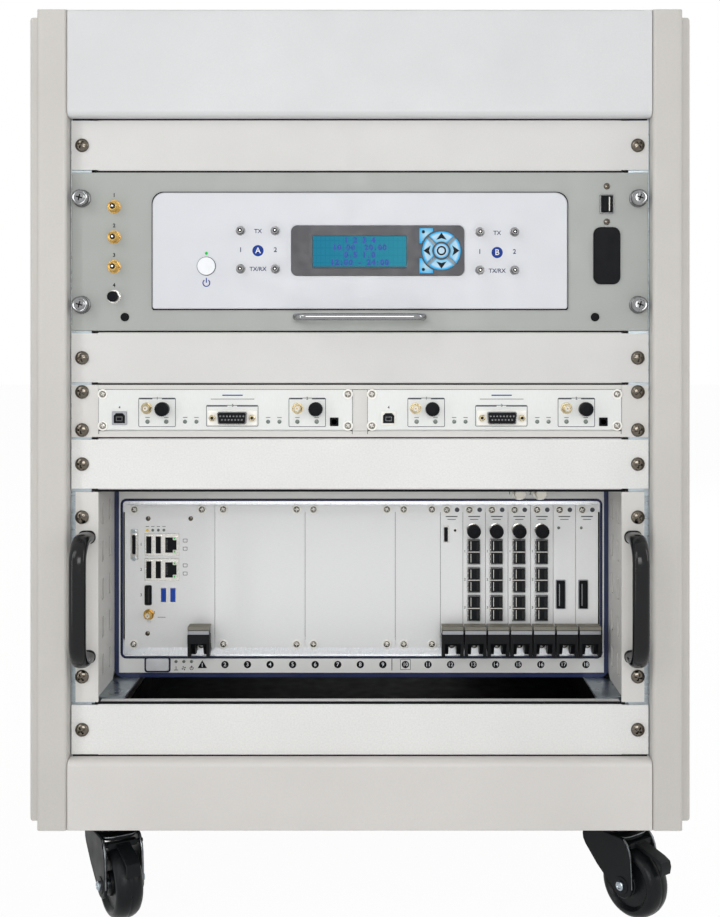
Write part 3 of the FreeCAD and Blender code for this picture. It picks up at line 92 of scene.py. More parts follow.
class Nodes:
    """A material's node tree with short calls."""

    def __init__(self, name):
        self.material = bpy.data.materials.new(name)
        self.material.use_nodes = True
        self.tree = self.material.node_tree
        self.shader = self.tree.nodes["Principled BSDF"]
        self.place = self.tree.nodes.new("ShaderNodeTexCoord").outputs["Object"]

    def new(self, kind, links=None, **settings):
        made = self.tree.nodes.new(kind)
        for key, value in settings.items():
            setattr(made, key, value)
        for key, value in (links or {}).items():
            socket = made.inputs[key]
            if isinstance(value, bpy.types.NodeSocket):
                self.tree.links.new(value, socket)
            else:
                socket.default_value = value
        return made

    def noise(self, scale, detail=3.0, stretch=None, rough=0.5):
        place = self.place
        if stretch:
            place = self.new("ShaderNodeMapping", {"Vector": place, "Scale": stretch}).outputs[0]
        return self.new("ShaderNodeTexNoise", {"Vector": place, "Scale": scale, "Detail": detail,
                                               "Roughness": rough}).outputs["Fac"]

    def spread(self, value, low_out, high_out, low_in=0.3, high_in=0.7):
        return self.new("ShaderNodeMapRange", {"Value": value, "From Min": low_in, "From Max": high_in,
                                               "To Min": low_out, "To Max": high_out}).outputs[0]

    def blend(self, factor, first, second):
        mix = self.new("ShaderNodeMix", data_type="RGBA")
        for index, value in ((0, factor), (6, first), (7, second)):
            if isinstance(value, bpy.types.NodeSocket):
                self.tree.links.new(value, mix.inputs[index])
            else:
                mix.inputs[index].default_value = value
        return mix.outputs[2]

    def mottled(self, noise, colour, darker, lighter):
        """A colour that wanders between two tints of itself."""
        return self.blend(self.spread(noise, 0, 1), tinted(colour, darker), tinted(colour, lighter))

    def math(self, operation, first, second=0.5):
        return self.new("ShaderNodeMath", {0: first, 1: second}, operation=operation).outputs[0]

    def parts(self):
        split = self.new("ShaderNodeSeparateXYZ", {"Vector": self.place})
        return split.outputs[0], split.outputs[1], split.outputs[2]

    def put(self, name, value):
        socket = self.shader.inputs[name]
        if isinstance(value, bpy.types.NodeSocket):
            self.tree.links.new(value, socket)
        else:
            socket.default_value = value

    def bump(self, height, depth):
        bump = self.new("ShaderNodeBump", {"Height": height, "Strength": 1.0, "Distance": depth * MM})
        self.put("Normal", bump.outputs[0])


def tinted(colour, factor):
    return tuple(min(1, c * factor) for c in colour[:3]) + (1,)


def coated(name, colour, rough=0.45, grain=0.03, mottle=0.05, gloss=0.5, lower_tone=None):
    """Powder-coated sheet: fine orange peel and an uneven tone; lower_tone = (height, colour below it)."""
    n = Nodes(name)
    n.put("Specular IOR Level", gloss)
    tone = n.noise(9, 4)
    base = n.mottled(tone, colour, 1 - mottle, 1 + mottle * 0.4)
    if lower_tone:
        height, second = lower_tone
        under = n.math("LESS_THAN", n.parts()[2], height * MM)
        base = n.blend(under, base, n.mottled(tone, second, 1 - mottle, 1 + mottle * 0.4))
    n.put("Base Color", n.blend(n.spread(n.noise(700, 2), 0, 0.35), base, tinted(colour, 1 - mottle * 1.6)))
    n.put("Roughness", n.spread(n.noise(60, 3), rough - 0.06, rough + 0.08))
    n.bump(n.noise(420, 3), grain)
    return n.material


def metal(name, colour, rough=0.3, stretch=(1, 1, 1), scale=300, grain=0.01, streak=0.12):
    """Bare or plated metal with a grain drawn out along one way."""
    n = Nodes(name)
    lines = n.noise(scale, 4, stretch, 0.6)
    n.put("Base Color", n.mottled(lines, colour, 1 - streak, 1 + streak * 0.5))
    n.put("Metallic", 1.0)
    n.put("Roughness", n.spread(n.noise(scale * 0.6, 3, stretch), rough - 0.07, rough + 0.1))
    n.bump(lines, grain)
    return n.material


def moulded(name, colour, rough=0.45, grain=0.02, coat=0.0, gloss=0.25):
    """Moulded plastic: fine spark texture and slightly uneven gloss."""
    n = Nodes(name)
    n.put("Specular IOR Level", gloss)
    n.put("Base Color", n.mottled(n.noise(35, 3), colour, 0.86, 1.12))
    n.put("Roughness", n.spread(n.noise(120, 2), rough - 0.07, rough + 0.09))
    n.bump(n.noise(900, 2), grain)
    if coat:
        n.put("Coat Weight", coat)
        n.put("Coat Roughness", 0.06)
    return n.material


def anodised(name, colour, stretch):
    """Satin anodised aluminium: pale and even, with a faint brushed grain."""
    n = Nodes(name)
    lines = n.noise(260, 4, stretch, 0.6)
    n.put("Base Color", n.mottled(lines, colour, 0.96, 1.02))
    n.put("Metallic", 0.1)
    n.put("Roughness", n.spread(n.noise(150, 3, stretch), 0.38, 0.52))
    n.bump(lines, 0.006)
    return n.material


def printed(name, colour, rough=0.5):
    """Screen-printed ink."""
    n = Nodes(name)
    n.put("Base Color", n.mottled(n.noise(500, 2), colour, 0.85, 1.1))
    n.put("Roughness", n.spread(n.noise(300, 2), rough - 0.05, rough + 0.1))
    n.put("Specular IOR Level", 0.12)
    return n.material


def lit(name, colour, strength):
    """A small lamp or a lit window."""
    n = Nodes(name)
    shade = n.mottled(n.noise(400, 2), colour, 0.85, 1.1)
    n.put("Base Color", shade)
    n.put("Emission Color", shade)
    n.put("Emission Strength", strength)
    n.put("Specular IOR Level", 0.15)
    n.put("Roughness", 0.2)
    return n.material


PAINT = coated("cabinet paint", srgb(204, 201, 196))
HEADER_PAINT = coated("header paint", srgb(218, 219, 220))
PLINTH_PAINT = coated("plinth paint", srgb(220, 217, 213))
PANEL_PAINT = coated("blank panel paint", srgb(219, 217, 213), rough=0.5)
# the panels low in the rack get a paler tone than those above
BLANK_PAINT = coated("blank paint in two batches", srgb(217, 216, 214), rough=0.5,
                     lower_tone=(low("rack_rails", 2) + 6.5 * RACK_UNIT, srgb(236, 236, 234)))
STATION_PAINT = coated("station paint", srgb(168, 171, 167), rough=0.42, grain=0.02)
FASCIA_PAINT = coated("fascia paint", srgb(213, 215, 220), rough=0.38, grain=0.012, mottle=0.02)
BLUE = coated("chassis blue", srgb(24, 36, 76), rough=0.35, grain=0.015, mottle=0.15, gloss=0.3)
# near-black for holes, hollows and the dark inside of the rack: painted shade
SHADE_DARK = coated("inside paint", srgb(13, 16, 19), rough=0.6, mottle=0.15, gloss=0.15)
CARD_FRONT = anodised("card front aluminium", srgb(234, 235, 235), (1, 1, 14))
RADIO_FRONT = anodised("radio front aluminium", srgb(224, 226, 224), (12, 1, 1))
COLLAR = anodised("screw collar", srgb(246, 244, 238), (1, 1, 1))
CARD_RAIL = metal("card rail aluminium", srgb(236, 238, 241), 0.3, (14, 1, 1), 260)
ZINC = metal("zinc plate", srgb(166, 176, 182), 0.3, (1, 1, 5), 90, 0.012, 0.2)
NICKEL = metal("nickel plate", srgb(212, 210, 205), 0.2, scale=500)
DARK_NICKEL = metal("dark nickel", srgb(106, 100, 91), 0.15, scale=500, streak=0.2)
SCREW_NICKEL = metal("card screw nickel", srgb(150, 147, 140), 0.16, scale=500, streak=0.15)
GOLD = metal("gold plate", srgb(184, 152, 90), 0.2, scale=500, streak=0.2)
PALE_GOLD = metal("pale gold plate", srgb(176, 164, 134), 0.2, scale=500, streak=0.2)
CHROME = metal("chrome", srgb(142, 143, 144), 0.09, (8, 1, 1), 120, 0.003, 0.06)
STEEL_DARK = metal("dark steel", srgb(98, 98, 99), 0.28, scale=350)
BLACK = moulded("black plastic", srgb(18, 19, 22), 0.42, gloss=0.08)
BLACK_GLOSS = moulded("black glossy plastic", srgb(9, 10, 13), 0.15, 0.002, gloss=0.3)
CASTER_BLACK = coated("caster black", srgb(20, 23, 25), rough=0.4, grain=0.03, mottle=0.2, gloss=0.14)
# bright strips on the fork edges: bare worn metal and a painted highlight
WORN_AND_LIT_EDGE = metal("worn edge", srgb(120, 124, 126), 0.3, scale=160, streak=0.5)
BEZEL_GREY = moulded("bezel grey", srgb(78, 78, 82), 0.35, 0.01)
BUTTON_WHITE = moulded("button white", srgb(230, 232, 235), 0.3, 0.004, coat=0.3)
INK_BLACK = printed("black ink", srgb(24, 25, 28))
INK_GREY = printed("grey ink", srgb(84, 87, 92))
INK_NAVY = printed("navy ink", srgb(34, 42, 88))
INK_BLUE = printed("blue ink", srgb(34, 64, 146))
INK_WHITE = printed("white ink", srgb(238, 240, 242))
# near-black strips in the panel seams and round the fascia: painted shade
SHADE_STRIP = moulded("gap strip", srgb(26, 27, 29), 0.7, gloss=0.05)
DIELECTRIC = moulded("white insulator", srgb(232, 230, 222), 0.4)
USB_BLUE = moulded("blue insulator", srgb(22, 70, 168), 0.4)
LAMP_GREEN = lit("green lamp", srgb(20, 170, 64), 0.5)
LAMP_AMBER = lit("amber lamp", srgb(206, 172, 52), 0.35)
LAMP_OFF = moulded("unlit lamp", srgb(112, 122, 116), 0.25, coat=0.5)
EJECTOR_BLACK = moulded("ejector black", srgb(24, 25, 27), 0.4, gloss=0.12)
EJECTOR_TOP = moulded("ejector grip", srgb(132, 129, 118), 0.5)
LABEL_SILVER = metal("label silver", srgb(150, 152, 156), 0.35, (10, 1, 1), 240)


def lcd_material():
    """Lit character display: a paler cell for each sign, and light that fades to one end."""
    n = Nodes("display glass")
    x, _, z = n.parts()
    cells = []
    for place, pitch, part in ((x, SIGN_WIDE, 0.84), (z, ROW_HIGH, 0.86)):
        share = n.math("FRACT", n.math("DIVIDE", n.math("ADD", place, 1.0), pitch * MM))
        cells.append(n.math("LESS_THAN", share, part))
    cell = n.math("MULTIPLY", cells[0], cells[1])
    glow = n.spread(x, 0, 1, -0.03, 0.04)
    ground = n.blend(glow, srgb(4, 122, 156), srgb(34, 140, 164))
    tone = n.blend(n.math("MULTIPLY", cell, 0.14), ground, srgb(60, 180, 200))
    n.put("Base Color", n.blend(0.7, tone, (0, 0, 0, 1)))
    n.put("Emission Color", tone)
    n.put("Emission Strength", 0.58)
    n.put("Roughness", 0.2)
    n.put("Specular IOR Level", 0.04)
    return n.material


LCD = lcd_material()
CYAN, ICE, SKY = srgb(10, 170, 232), srgb(186, 215, 232), srgb(128, 194, 226)


KEY_REACH = 20          # colour stops are given up to this many millimetres from the middle


def key_material(name, centre_x, centre_z, stops, split=False):
    """Key with a painted glow: colours by distance from a centre, given out as emission over a dim base."""
    n = Nodes(name)
    x, _, z = n.parts()
    across = n.math("ABSOLUTE", n.math("SUBTRACT", x, centre_x * MM))
    along = n.math("ABSOLUTE", n.math("SUBTRACT", z, centre_z * MM))
    square = n.math("ADD", n.math("POWER", across, 2.0), n.math("POWER", along, 2.0))
    reach = n.math("DIVIDE", n.math("SQRT", square), KEY_REACH * MM)
    ramp = n.new("ShaderNodeValToRGB", {"Fac": reach})
    points = ramp.color_ramp.elements
    while len(points) < len(stops):
        points.new(0.5)
    for point, (place, colour) in zip(points, stops):
        point.position = place / KEY_REACH
        point.color = colour
    light = ramp.outputs["Color"]
    if split:
        slant = n.math("DIVIDE", n.math("ABSOLUTE", n.math("SUBTRACT", across, along)), 1.414 * MM)
        ring = n.math("GREATER_THAN", reach, 0.34)
        light = n.blend(n.math("MULTIPLY", ring, n.spread(slant, 1, 0, 1.3, 2.7)), light, CYAN)
        light = n.blend(n.math("MULTIPLY", ring, n.math("LESS_THAN", slant, 1.25)), light, srgb(70, 72, 76))
    # dim base, with the colours given out as emission: a painted glow
    n.put("Base Color", n.blend(n.spread(n.noise(60, 2), 0.5, 0.6), light, (0.04, 0.05, 0.06, 1)))
    n.put("Emission Color", light)
    n.put("Emission Strength", 0.56)
    n.put("Specular IOR Level", 0.12)
    n.put("Roughness", n.spread(n.noise(200, 2), 0.3, 0.42))
    return n.material


PAD_X, PAD_Z = 68.0, STATION_Z + 0.5
PAD_STOPS = ((0, ICE), (4.2, ICE), (6.2, CYAN), (8.2, SKY), (13.6, ICE), (15.4, CYAN))
CORNER_STOPS = ((0, ICE), (3.8, SKY), (7.6, CYAN))
PAD_KEY = key_material("pad keys", PAD_X, PAD_Z, PAD_STOPS, True)
MENU_KEY = key_material("corner key top", 55.6, PAD_Z + 13, CORNER_STOPS)
BACK_KEY = key_material("corner key foot", 55.6, PAD_Z - 13, CORNER_STOPS)


def tyre_material():
    """Hard black wheel, polished by rolling."""
    n = Nodes("caster wheel")
    n.put("Base Color", n.blend(n.spread(n.noise(50, 3), 0, 1), srgb(13, 15, 17), srgb(26, 28, 30)))
    n.put("Specular IOR Level", 0.16)
    n.put("Roughness", n.spread(n.noise(140, 3), 0.26, 0.42))
    n.bump(n.noise(380, 3), 0.02)
    return n.material


TYRE = tyre_material()


def chassis_face_material():
    """Pale face with the raised trim and the outer edge in blue, and plated jacks."""
    n = Nodes("chassis frame")
    x, y, z = n.parts()
    beside = n.math("LESS_THAN", n.math("ABSOLUTE", n.math("SUBTRACT", x, 151.3 * MM)), 18 * MM)
    near = n.math("MULTIPLY", beside, n.math("GREATER_THAN", z, (CHASSIS_Z + 73) * MM))
    jack = n.math("MAXIMUM", n.math("LESS_THAN", y, (FRAME_Y - 1.4) * MM), near)
    proud = n.math("LESS_THAN", y, (FRAME_Y - 0.2) * MM)
    tone = n.spread(n.noise(12, 3), 0, 1)
    pale = n.blend(tone, srgb(232, 232, 229), srgb(238, 238, 236))
    blue = n.blend(tone, srgb(22, 33, 70), srgb(30, 44, 88))
    n.put("Base Color", n.blend(jack, n.blend(proud, pale, blue), n.blend(proud, pale, srgb(186, 183, 174))))
    n.put("Metallic", n.math("MULTIPLY", jack, proud))
    n.put("Roughness", n.spread(n.noise(70, 3), 0.3, 0.44))
    n.bump(n.noise(420, 2), 0.015)
    return n.material


CORNERS = ("fl", "fr", "rl", "rr")
EJECTORS = [f"ejector_{number}" for number in range(1, 9)]
for names, material in (
        ("side_frame_left side_frame_right side_panel_left side_panel_right top_cover rear_door", PAINT),
        ("header_panel", HEADER_PAINT),
        ("plinth_panel", PLINTH_PAINT),
        ("blank_panels", BLANK_PAINT),
        ("radio_tray chassis_brackets", PANEL_PAINT),
        ("station_case station_front_panel", STATION_PAINT),
        ("station_fascia", FASCIA_PAINT),
        ("rack_rails support_angles", ZINC),
        ("caster_plates brake_lever_fl brake_lever_fr", CASTER_BLACK),
        (" ".join(f"caster_fork_{corner}" for corner in CORNERS), CASTER_BLACK),
        (" ".join(f"caster_wheel_{corner}" for corner in CORNERS), TYRE),
        ("radio_units", RADIO_FRONT),
        ("module_panels controller_module", CARD_FRONT),
        ("card_cage_rails", CARD_RAIL),
        # the chassis case and the floor pan in near-black: painted shade of the dark space inside the rack
        ("chassis_case base_frame", SHADE_DARK),
        ("chassis_bezel", chassis_face_material()),
        ("station_handle", CHROME),
        ("display_bezel", BEZEL_GREY),
        ("display_screen", LCD),
        ("chassis_handles door_latch", BLACK_GLOSS),
        ("station_power_button chassis_power_button reset_button", BUTTON_WHITE),
        ("key_right key_up key_left key_down key_select", PAD_KEY),
        ("key_menu", MENU_KEY),
        ("key_back", BACK_KEY),
        (" ".join(EJECTORS), EJECTOR_BLACK)):
    for node in names.split():
        NODES[node].data.materials.clear()
        NODES[node].data.materials.append(material)


# ------------------------------------------------------------ mesh tools
def arc(radius, x, z, first, sweep, steps):
    """Points along part of a circle, both ends included; angles in radians."""
    angles = [first + sweep * i / steps for i in range(steps + 1)]
    return [(x + radius * math.cos(a), z + radius * math.sin(a)) for a in angles]


def circle(radius, steps, x=0.0, z=0.0, start=0.0):
    return arc(radius, x, z, start, 2 * math.pi, steps)[:-1]


def rounded(x, z, radius, steps=5):
    """Outline of a rectangle with round corners, anticlockwise from the lower right."""
    radius = max(radius, 0.01)
    left, right, foot, top = x[0] + radius, x[1] - radius, z[0] + radius, z[1] - radius
    points = []
    for k, (cx, cz) in enumerate(((right, foot), (right, top), (left, top), (left, foot))):
        points += arc(radius, cx, cz, (k - 1) * math.pi / 2, math.pi / 2, steps)
    return points


class Piece:
    """One object of the visual model, gathered part by part in millimetres, facing -Y."""

    def __init__(self, name, body="cabinet", slot="connector_mix"):
        self.name = name
        self.body = body
        self.slot = slot
        self.mesh = bmesh.new()
        self.materials = []

    def index(self, material):
        if material not in self.materials:
            self.materials.append(material)
        return self.materials.index(material)

    def loft(self, rings, material, looped=False):
        """Closed skin through rings of (x, y, z) with equally many points.

        The ends are capped, or the last ring leads back to the first, as on a bored wheel.
        """
        rows = [[self.mesh.verts.new(point) for point in ring] for ring in rings]
        count = len(rows[0])
        made = [self.mesh.faces.new((first[i], first[(i + 1) % count], second[(i + 1) % count], second[i]))
                for first, second in zip(rows, rows[1:] + (rows[:1] if looped else [])) for i in range(count)]
        if not looped:
            made += [self.mesh.faces.new(rows[0][::-1]), self.mesh.faces.new(rows[-1])]
        for face in made:
            face.material_index = self.index(material)
        bmesh.ops.recalc_face_normals(self.mesh, faces=made)

    def stack(self, layers, y, material, looped=False):
        """A loft of flat outlines: layers holds (outline, reach towards the front from y)."""
        self.loft([[(u, y - reach, v) for u, v in outline] for outline, reach in layers], material, looped)

    def slab(self, x, z, y, material, radius=0.5, edge=0.2):
        """A plate from y[0], its front, to y[1], with round corners and a softened front edge."""
        shape = rounded(x, z, radius)
        small = rounded((x[0] + edge, x[1] - edge), (z[0] + edge, z[1] - edge), max(radius - edge, 0.02))
        self.stack(((small, 0), (shape, -edge), (shape, y[0] - y[1])), y[0], material)

    def turned(self, profile, x, z, y, material, steps=28, start=0.0):
        """A body turned about the line through x, z, or a nut with 6 steps: profile holds (radius, reach)."""
        self.stack([(circle(max(radius, 0.01), steps, x, z, start), reach) for radius, reach in profile], y, material)

    def knurled(self, profile, x, z, y, material, steps):
        """As turned, with every second point set in: profile holds (radius, reach, depth of the grooves)."""
        layers = []
        for radius, reach, groove in profile:
            outline = [(x + (radius - groove * (i % 2)) * u, z + (radius - groove * (i % 2)) * v)
                       for i, (u, v) in enumerate(circle(1, steps))]
            layers.append((outline, reach))
        self.stack(layers, y, material)

    def bar(self, points, across, half, material, steps=24, power=2.0):
        """A bar swept along points; half = (along across, along the bend), and the section is round at power 2."""
        rings = []
        points = [Vector(p) for p in points]
        across = Vector(across)
        for i, point in enumerate(points):
            along = (points[min(i + 1, len(points) - 1)] - points[max(i - 1, 0)]).normalized()
            out = along.cross(across).normalized()
            ring = []
            for k in range(steps):
                a = 2 * math.pi * k / steps
                u = math.copysign(abs(math.cos(a)) ** (2 / power), math.cos(a)) * half[0]
                v = math.copysign(abs(math.sin(a)) ** (2 / power), math.sin(a)) * half[1]
                ring.append(tuple(point + across * u + out * v))
            rings.append(ring)
        self.loft(rings, material)

    def flat(self, outline, y, material, thick=0.06):
        """A printed or laid-on shape, its front thick in front of y."""
        self.stack(((outline, thick), (outline, -0.02)), y, material)

    def ring(self, outer, inner, y, material, thick=0.06, back=0.02):
        """A flat band between two outlines with equally many points."""
        self.stack(((outer, -back), (outer, thick), (inner, thick), (inner, -back)), y, material, looped=True)

    def arc_band(self, radii, x, z, first, sweep, steps, y, material, thick=0.06):
        """Part of a flat ring between two radii."""
        outer, inner = (arc(radius, x, z, first, sweep, steps) for radius in radii)
        for i in range(steps):
            self.flat([outer[i], outer[i + 1], inner[i + 1], inner[i]], y, material, thick)

    def line(self, points, width, y, material, thick=0.05):
        """Printed straight strokes from point to point."""
        for (x0, z0), (x1, z1) in zip(points, points[1:]):
            along = Vector((x1 - x0, z1 - z0)).normalized() * width / 2
            side = Vector((-along.y, along.x))
            a, b = Vector((x0, z0)) - along, Vector((x1, z1)) + along
            self.flat([a - side, b - side, b + side, a + side], y, material, thick)

    def text(self, words, x, z, height, y, material, thick=0.05, bold=0.012):
        """Letters centred on x, z, standing thick in front of y; bold widens their strokes."""
        curve = bpy.data.curves.new("letters", "FONT")
        curve.body = words
        curve.size = height / 0.72
        curve.offset = bold * curve.size
        curve.align_x = "CENTER"
        curve.align_y = "CENTER"
        curve.resolution_u = 3
        holder = bpy.data.objects.new("letters", curve)
        flat = bpy.data.meshes.new_from_object(holder)
        verts = [self.mesh.verts.new((x + v.co.x, y - thick, z + v.co.y)) for v in flat.vertices]
        where = self.index(material)
        for polygon in flat.polygons:
            face = self.mesh.faces.new([verts[i] for i in polygon.vertices])
            face.material_index = where
            face.normal_update()
            if face.normal.y > 0:
                face.normal_flip()
        bpy.data.meshes.remove(flat)
        bpy.data.objects.remove(holder)
        bpy.data.curves.remove(curve)

    def loose(self):
        """The gathered mesh as an object, in metres; repeat() copies such a one."""
        data = bpy.data.meshes.new(self.name)
        bmesh.ops.scale(self.mesh, vec=(MM, MM, MM), verts=self.mesh.verts)
        self.mesh.to_mesh(data)
        self.mesh.free()
        data.shade_smooth()
        data.set_sharp_from_angle(angle=SHARP)
        return bpy.data.objects.new(self.name, data)

    def finish(self, *replaced):
        """Makes the object and lets it ride on its body."""
        made = self.loose()
        for material in self.materials:
            made.data.materials.append(material)
        bpy.context.scene.collection.objects.link(made)
        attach(made, self.body)
        if replaced:
            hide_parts(*replaced)


def repeat(name, template, places, material, body="cabinet", spin=0.0):
    """Copies of one small piece at many places, made by Geometry Nodes and left as one plain mesh.

    spin turns each copy at random about the line through it, by up to that many degrees.
    """
    data = bpy.data.meshes.new(name + "_places")
    data.from_pydata([tuple(c * MM for c in p) for p in places], [], [])
    holder = bpy.data.objects.new(name, data)
    bpy.context.scene.collection.objects.link(holder)
    tree = bpy.data.node_groups.new(name, "GeometryNodeTree")
    face = tree.interface
    face.new_socket("Places", in_out="INPUT", socket_type="NodeSocketGeometry")
    spin_socket = face.new_socket("Spin", in_out="INPUT", socket_type="NodeSocketFloat")
    size_socket = face.new_socket("Size", in_out="INPUT", socket_type="NodeSocketFloat")
    face.new_socket("Pieces", in_out="OUTPUT", socket_type="NodeSocketGeometry")
    new = tree.nodes.new
    start, end = new("NodeGroupInput"), new("NodeGroupOutput")
    info = new("GeometryNodeObjectInfo")
    info.inputs["Object"].default_value = template
    random = new("FunctionNodeRandomValue")
    random.data_type = "FLOAT"
    random.inputs["Seed"].default_value = 7
    angle = new("ShaderNodeCombineXYZ")
    instance = new("GeometryNodeInstanceOnPoints")
    realize = new("GeometryNodeRealizeInstances")
    paint = new("GeometryNodeSetMaterial")
    paint.inputs["Material"].default_value = material
    scale = new("ShaderNodeCombineXYZ")
    link = tree.links.new
    link(start.outputs["Places"], instance.inputs["Points"])
    link(info.outputs["Geometry"], instance.inputs["Instance"])
    link(start.outputs["Spin"], random.inputs[3])
    link(random.outputs[1], angle.inputs["Y"])
    link(angle.outputs[0], instance.inputs["Rotation"])
    for side in "XYZ":
        link(start.outputs["Size"], scale.inputs[side])
    link(scale.outputs[0], instance.inputs["Scale"])
    link(instance.outputs[0], realize.inputs[0])
    link(realize.outputs[0], paint.inputs["Geometry"])
    link(paint.outputs[0], end.inputs[0])
    modifier = holder.modifiers.new("copies", "NODES")
    modifier.node_group = tree
    modifier[spin_socket.identifier] = math.radians(spin)
    modifier[size_socket.identifier] = 1.0
    graph = bpy.context.evaluated_depsgraph_get()
    made = bpy.data.meshes.new_from_object(holder.evaluated_get(graph))
    holder.modifiers.remove(modifier)
    holder.data = made
    made.name = name
    bpy.data.objects.remove(template)
    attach(holder, body)
    return holder


def cross_screw(name, radius, height, arm, depth):
    """Domed head with a cross recess: a dome grid pressed in where the cross lies."""
    piece = Piece(name)
    steps, rows = 48, 12
    grid = []
    for j in range(rows + 1):
        share = j / rows
        r = radius * (1 - share)
        rise = height * math.sqrt(max(0.0, 1 - (r / radius) ** 2)) * 0.8 + height * 0.2
        ring = []
        for i in range(steps):
            a = 2 * math.pi * i / steps
            x, z = r * math.cos(a), r * math.sin(a)
            inside = min(abs(x), abs(z)) < arm * 0.24 and max(abs(x), abs(z)) < arm
            ring.append((x, -(rise - (depth if inside else 0)), z))
        grid.append(ring)
    base = [(x, 0.0, z) for x, _, z in grid[0]]
    grid[-1] = [(u, y, v) for (u, v), (_, y, _) in zip(circle(TIP, steps), grid[-1])]
    piece.loft([base] + grid, ZINC)
    return piece.loose()


def collar(name, radius, bore):
    """Pale retaining collar that a card screw sits in."""
    piece = Piece(name)
    piece.turned([(radius, 0), (radius, 0.6), (radius - 0.3, 0.9), (bore + 0.25, 0.9), (bore, 0.2)], 0, 0, 0, COLLAR)
    return piece.loose()


# ------------------------------------------------------------ sockets and jacks
def rf_jack(piece, x, z, y, plating=NICKEL, scale=1.0, core=DIELECTRIC, pin=GOLD):
    """Small threaded RF jack: hexagon seat, threaded barrel, white insulator and centre contact."""
    s = scale
    piece.turned([(5.4 * s, 0), (5.4 * s, 0.5 * s)], x, z, y, plating, 24)
    piece.turned([(4.9 * s, 0.5 * s), (4.9 * s, 2.3 * s), (4.5 * s, 2.6 * s)], x, z, y, plating, 6, 0.3)
    thread = [(3.2 * s, 2.6 * s)]
    for k in range(8):
        reach = (2.9 + 0.62 * k) * s
        thread += [(3.2 * s, reach), (3.55 * s, reach + 0.2 * s), (3.55 * s, reach + 0.3 * s),
                   (3.2 * s, reach + 0.5 * s)]
    lip = (2.9 + 0.62 * 8) * s
    mouth = [(3.3 * s, lip), (3.3 * s, lip + 0.8 * s), (2.55 * s, lip + 0.8 * s), (2.4 * s, lip - 0.4 * s),
             (TIP, lip - 0.4 * s)]
    piece.turned(thread + mouth, x, z, y, plating, 24)
    piece.turned([(2.3 * s, lip - 0.5 * s), (2.3 * s, lip + 0.1 * s), (0.9 * s, lip + 0.1 * s), (TIP, lip + 0.1 * s)],
                 x, z, y, core, 20)
    piece.turned([(0.75 * s, lip), (0.75 * s, lip + 0.45 * s), (0.35 * s, lip + 0.45 * s), (0.3 * s, lip + 0.1 * s),
                  (TIP, lip + 0.1 * s)], x, z, y, pin, 16)


def jack_cap(piece, x, z, y, radius=6.0, reach=9.6):
    """Knurled black dust cap that ends at reach, on a plated jack."""
    piece.turned([(5.6, 0), (5.6, 0.8), (4.9, 0.8), (4.9, reach - 7.4)], x, z, y, NICKEL, 28)
    profile = ((7.9, 0.94, 1), (7.3, 1.0, 1), (0.8, 1.0, 1), (0.2, 0.95, 1), (0, 0.84, 0), (0, 0.55, 0), (0.4, 0.5, 0),
               (0.4, 0.004, 0))
    piece.knurled([(radius * factor, reach - back, 0.28 * groove) for back, factor, groove in profile], x, z, y, BLACK,
                  48)


def coax_jack(piece, x, z, y, plating=GOLD, capped=False, scale=0.86):
    """Larger coaxial jack: washer, nut, threaded body and open mouth, or a dark cap."""
    s = scale

    def turn(profile, material, steps=28):
        piece.turned([(r * s, reach * s) for r, reach in profile], x, z, y, material, steps)

    seat = NICKEL if capped else plating
    turn([(6.6, 0), (6.6, 0.5)], seat)
    turn([(5.9, 0.5), (5.9, 2.4), (5.3, 2.8)], seat, 6)
    if capped:
        turn([(5.2, 2.8), (5.2, 8.8), (4.7, 9.4), (3.4, 9.6), (3.2, 9.2), (TIP, 9.2)], BLACK)
        return
    thread = []
    for k in range(7):
        reach = 2.8 + 0.9 * k
        thread += [(4.3, reach), (4.7, reach + 0.3), (4.7, reach + 0.45), (4.3, reach + 0.75)]
    turn(thread + [(4.3, 9.3), (4.3, 10.8), (3.5, 10.8), (3.4, 8.4), (TIP, 8.4)], plating)
    turn([(2.7, 8.2), (2.7, 8.9), (1.3, 8.9), (1.2, 8.6), (TIP, 8.6)], BLACK, 24)
    turn([(1.1, 8.4), (1.1, 9.9), (0.6, 10.1), (TIP, 10.1)], NICKEL, 16)


def well(piece, x, z, y, rim, inside, edge=0.7, proud=0.6, radius=0.3):
    """A socket: a rim standing proud of y round a flat plate that fills the opening; a dark plate there is painted
    shade in the hole.
    """
    outer = rounded(x, z, radius + edge * 0.5)
    inner = rounded((x[0] + edge, x[1] - edge), (z[0] + edge, z[1] - edge), radius)
    piece.ring(outer, inner, y, rim, proud, 0.0)
    # the plate in the opening; when dark it is painted shade in the hole
    piece.stack(((inner, 0), (inner, -0.05)), y - proud * 0.2, inside)


def usb_socket(piece, x, z, y):
    """Upright USB-type socket with its tongue."""
    well(piece, x, z, y, NICKEL, SHADE_DARK, 0.55, 1.0)
    width = x[1] - x[0]
    piece.slab((x[0] + width * 0.5, x[1] - width * 0.2), (z[0] + 1.6, z[1] - 1.6), (y - 0.7, y - 0.1), BLACK, 0.1, 0.05)


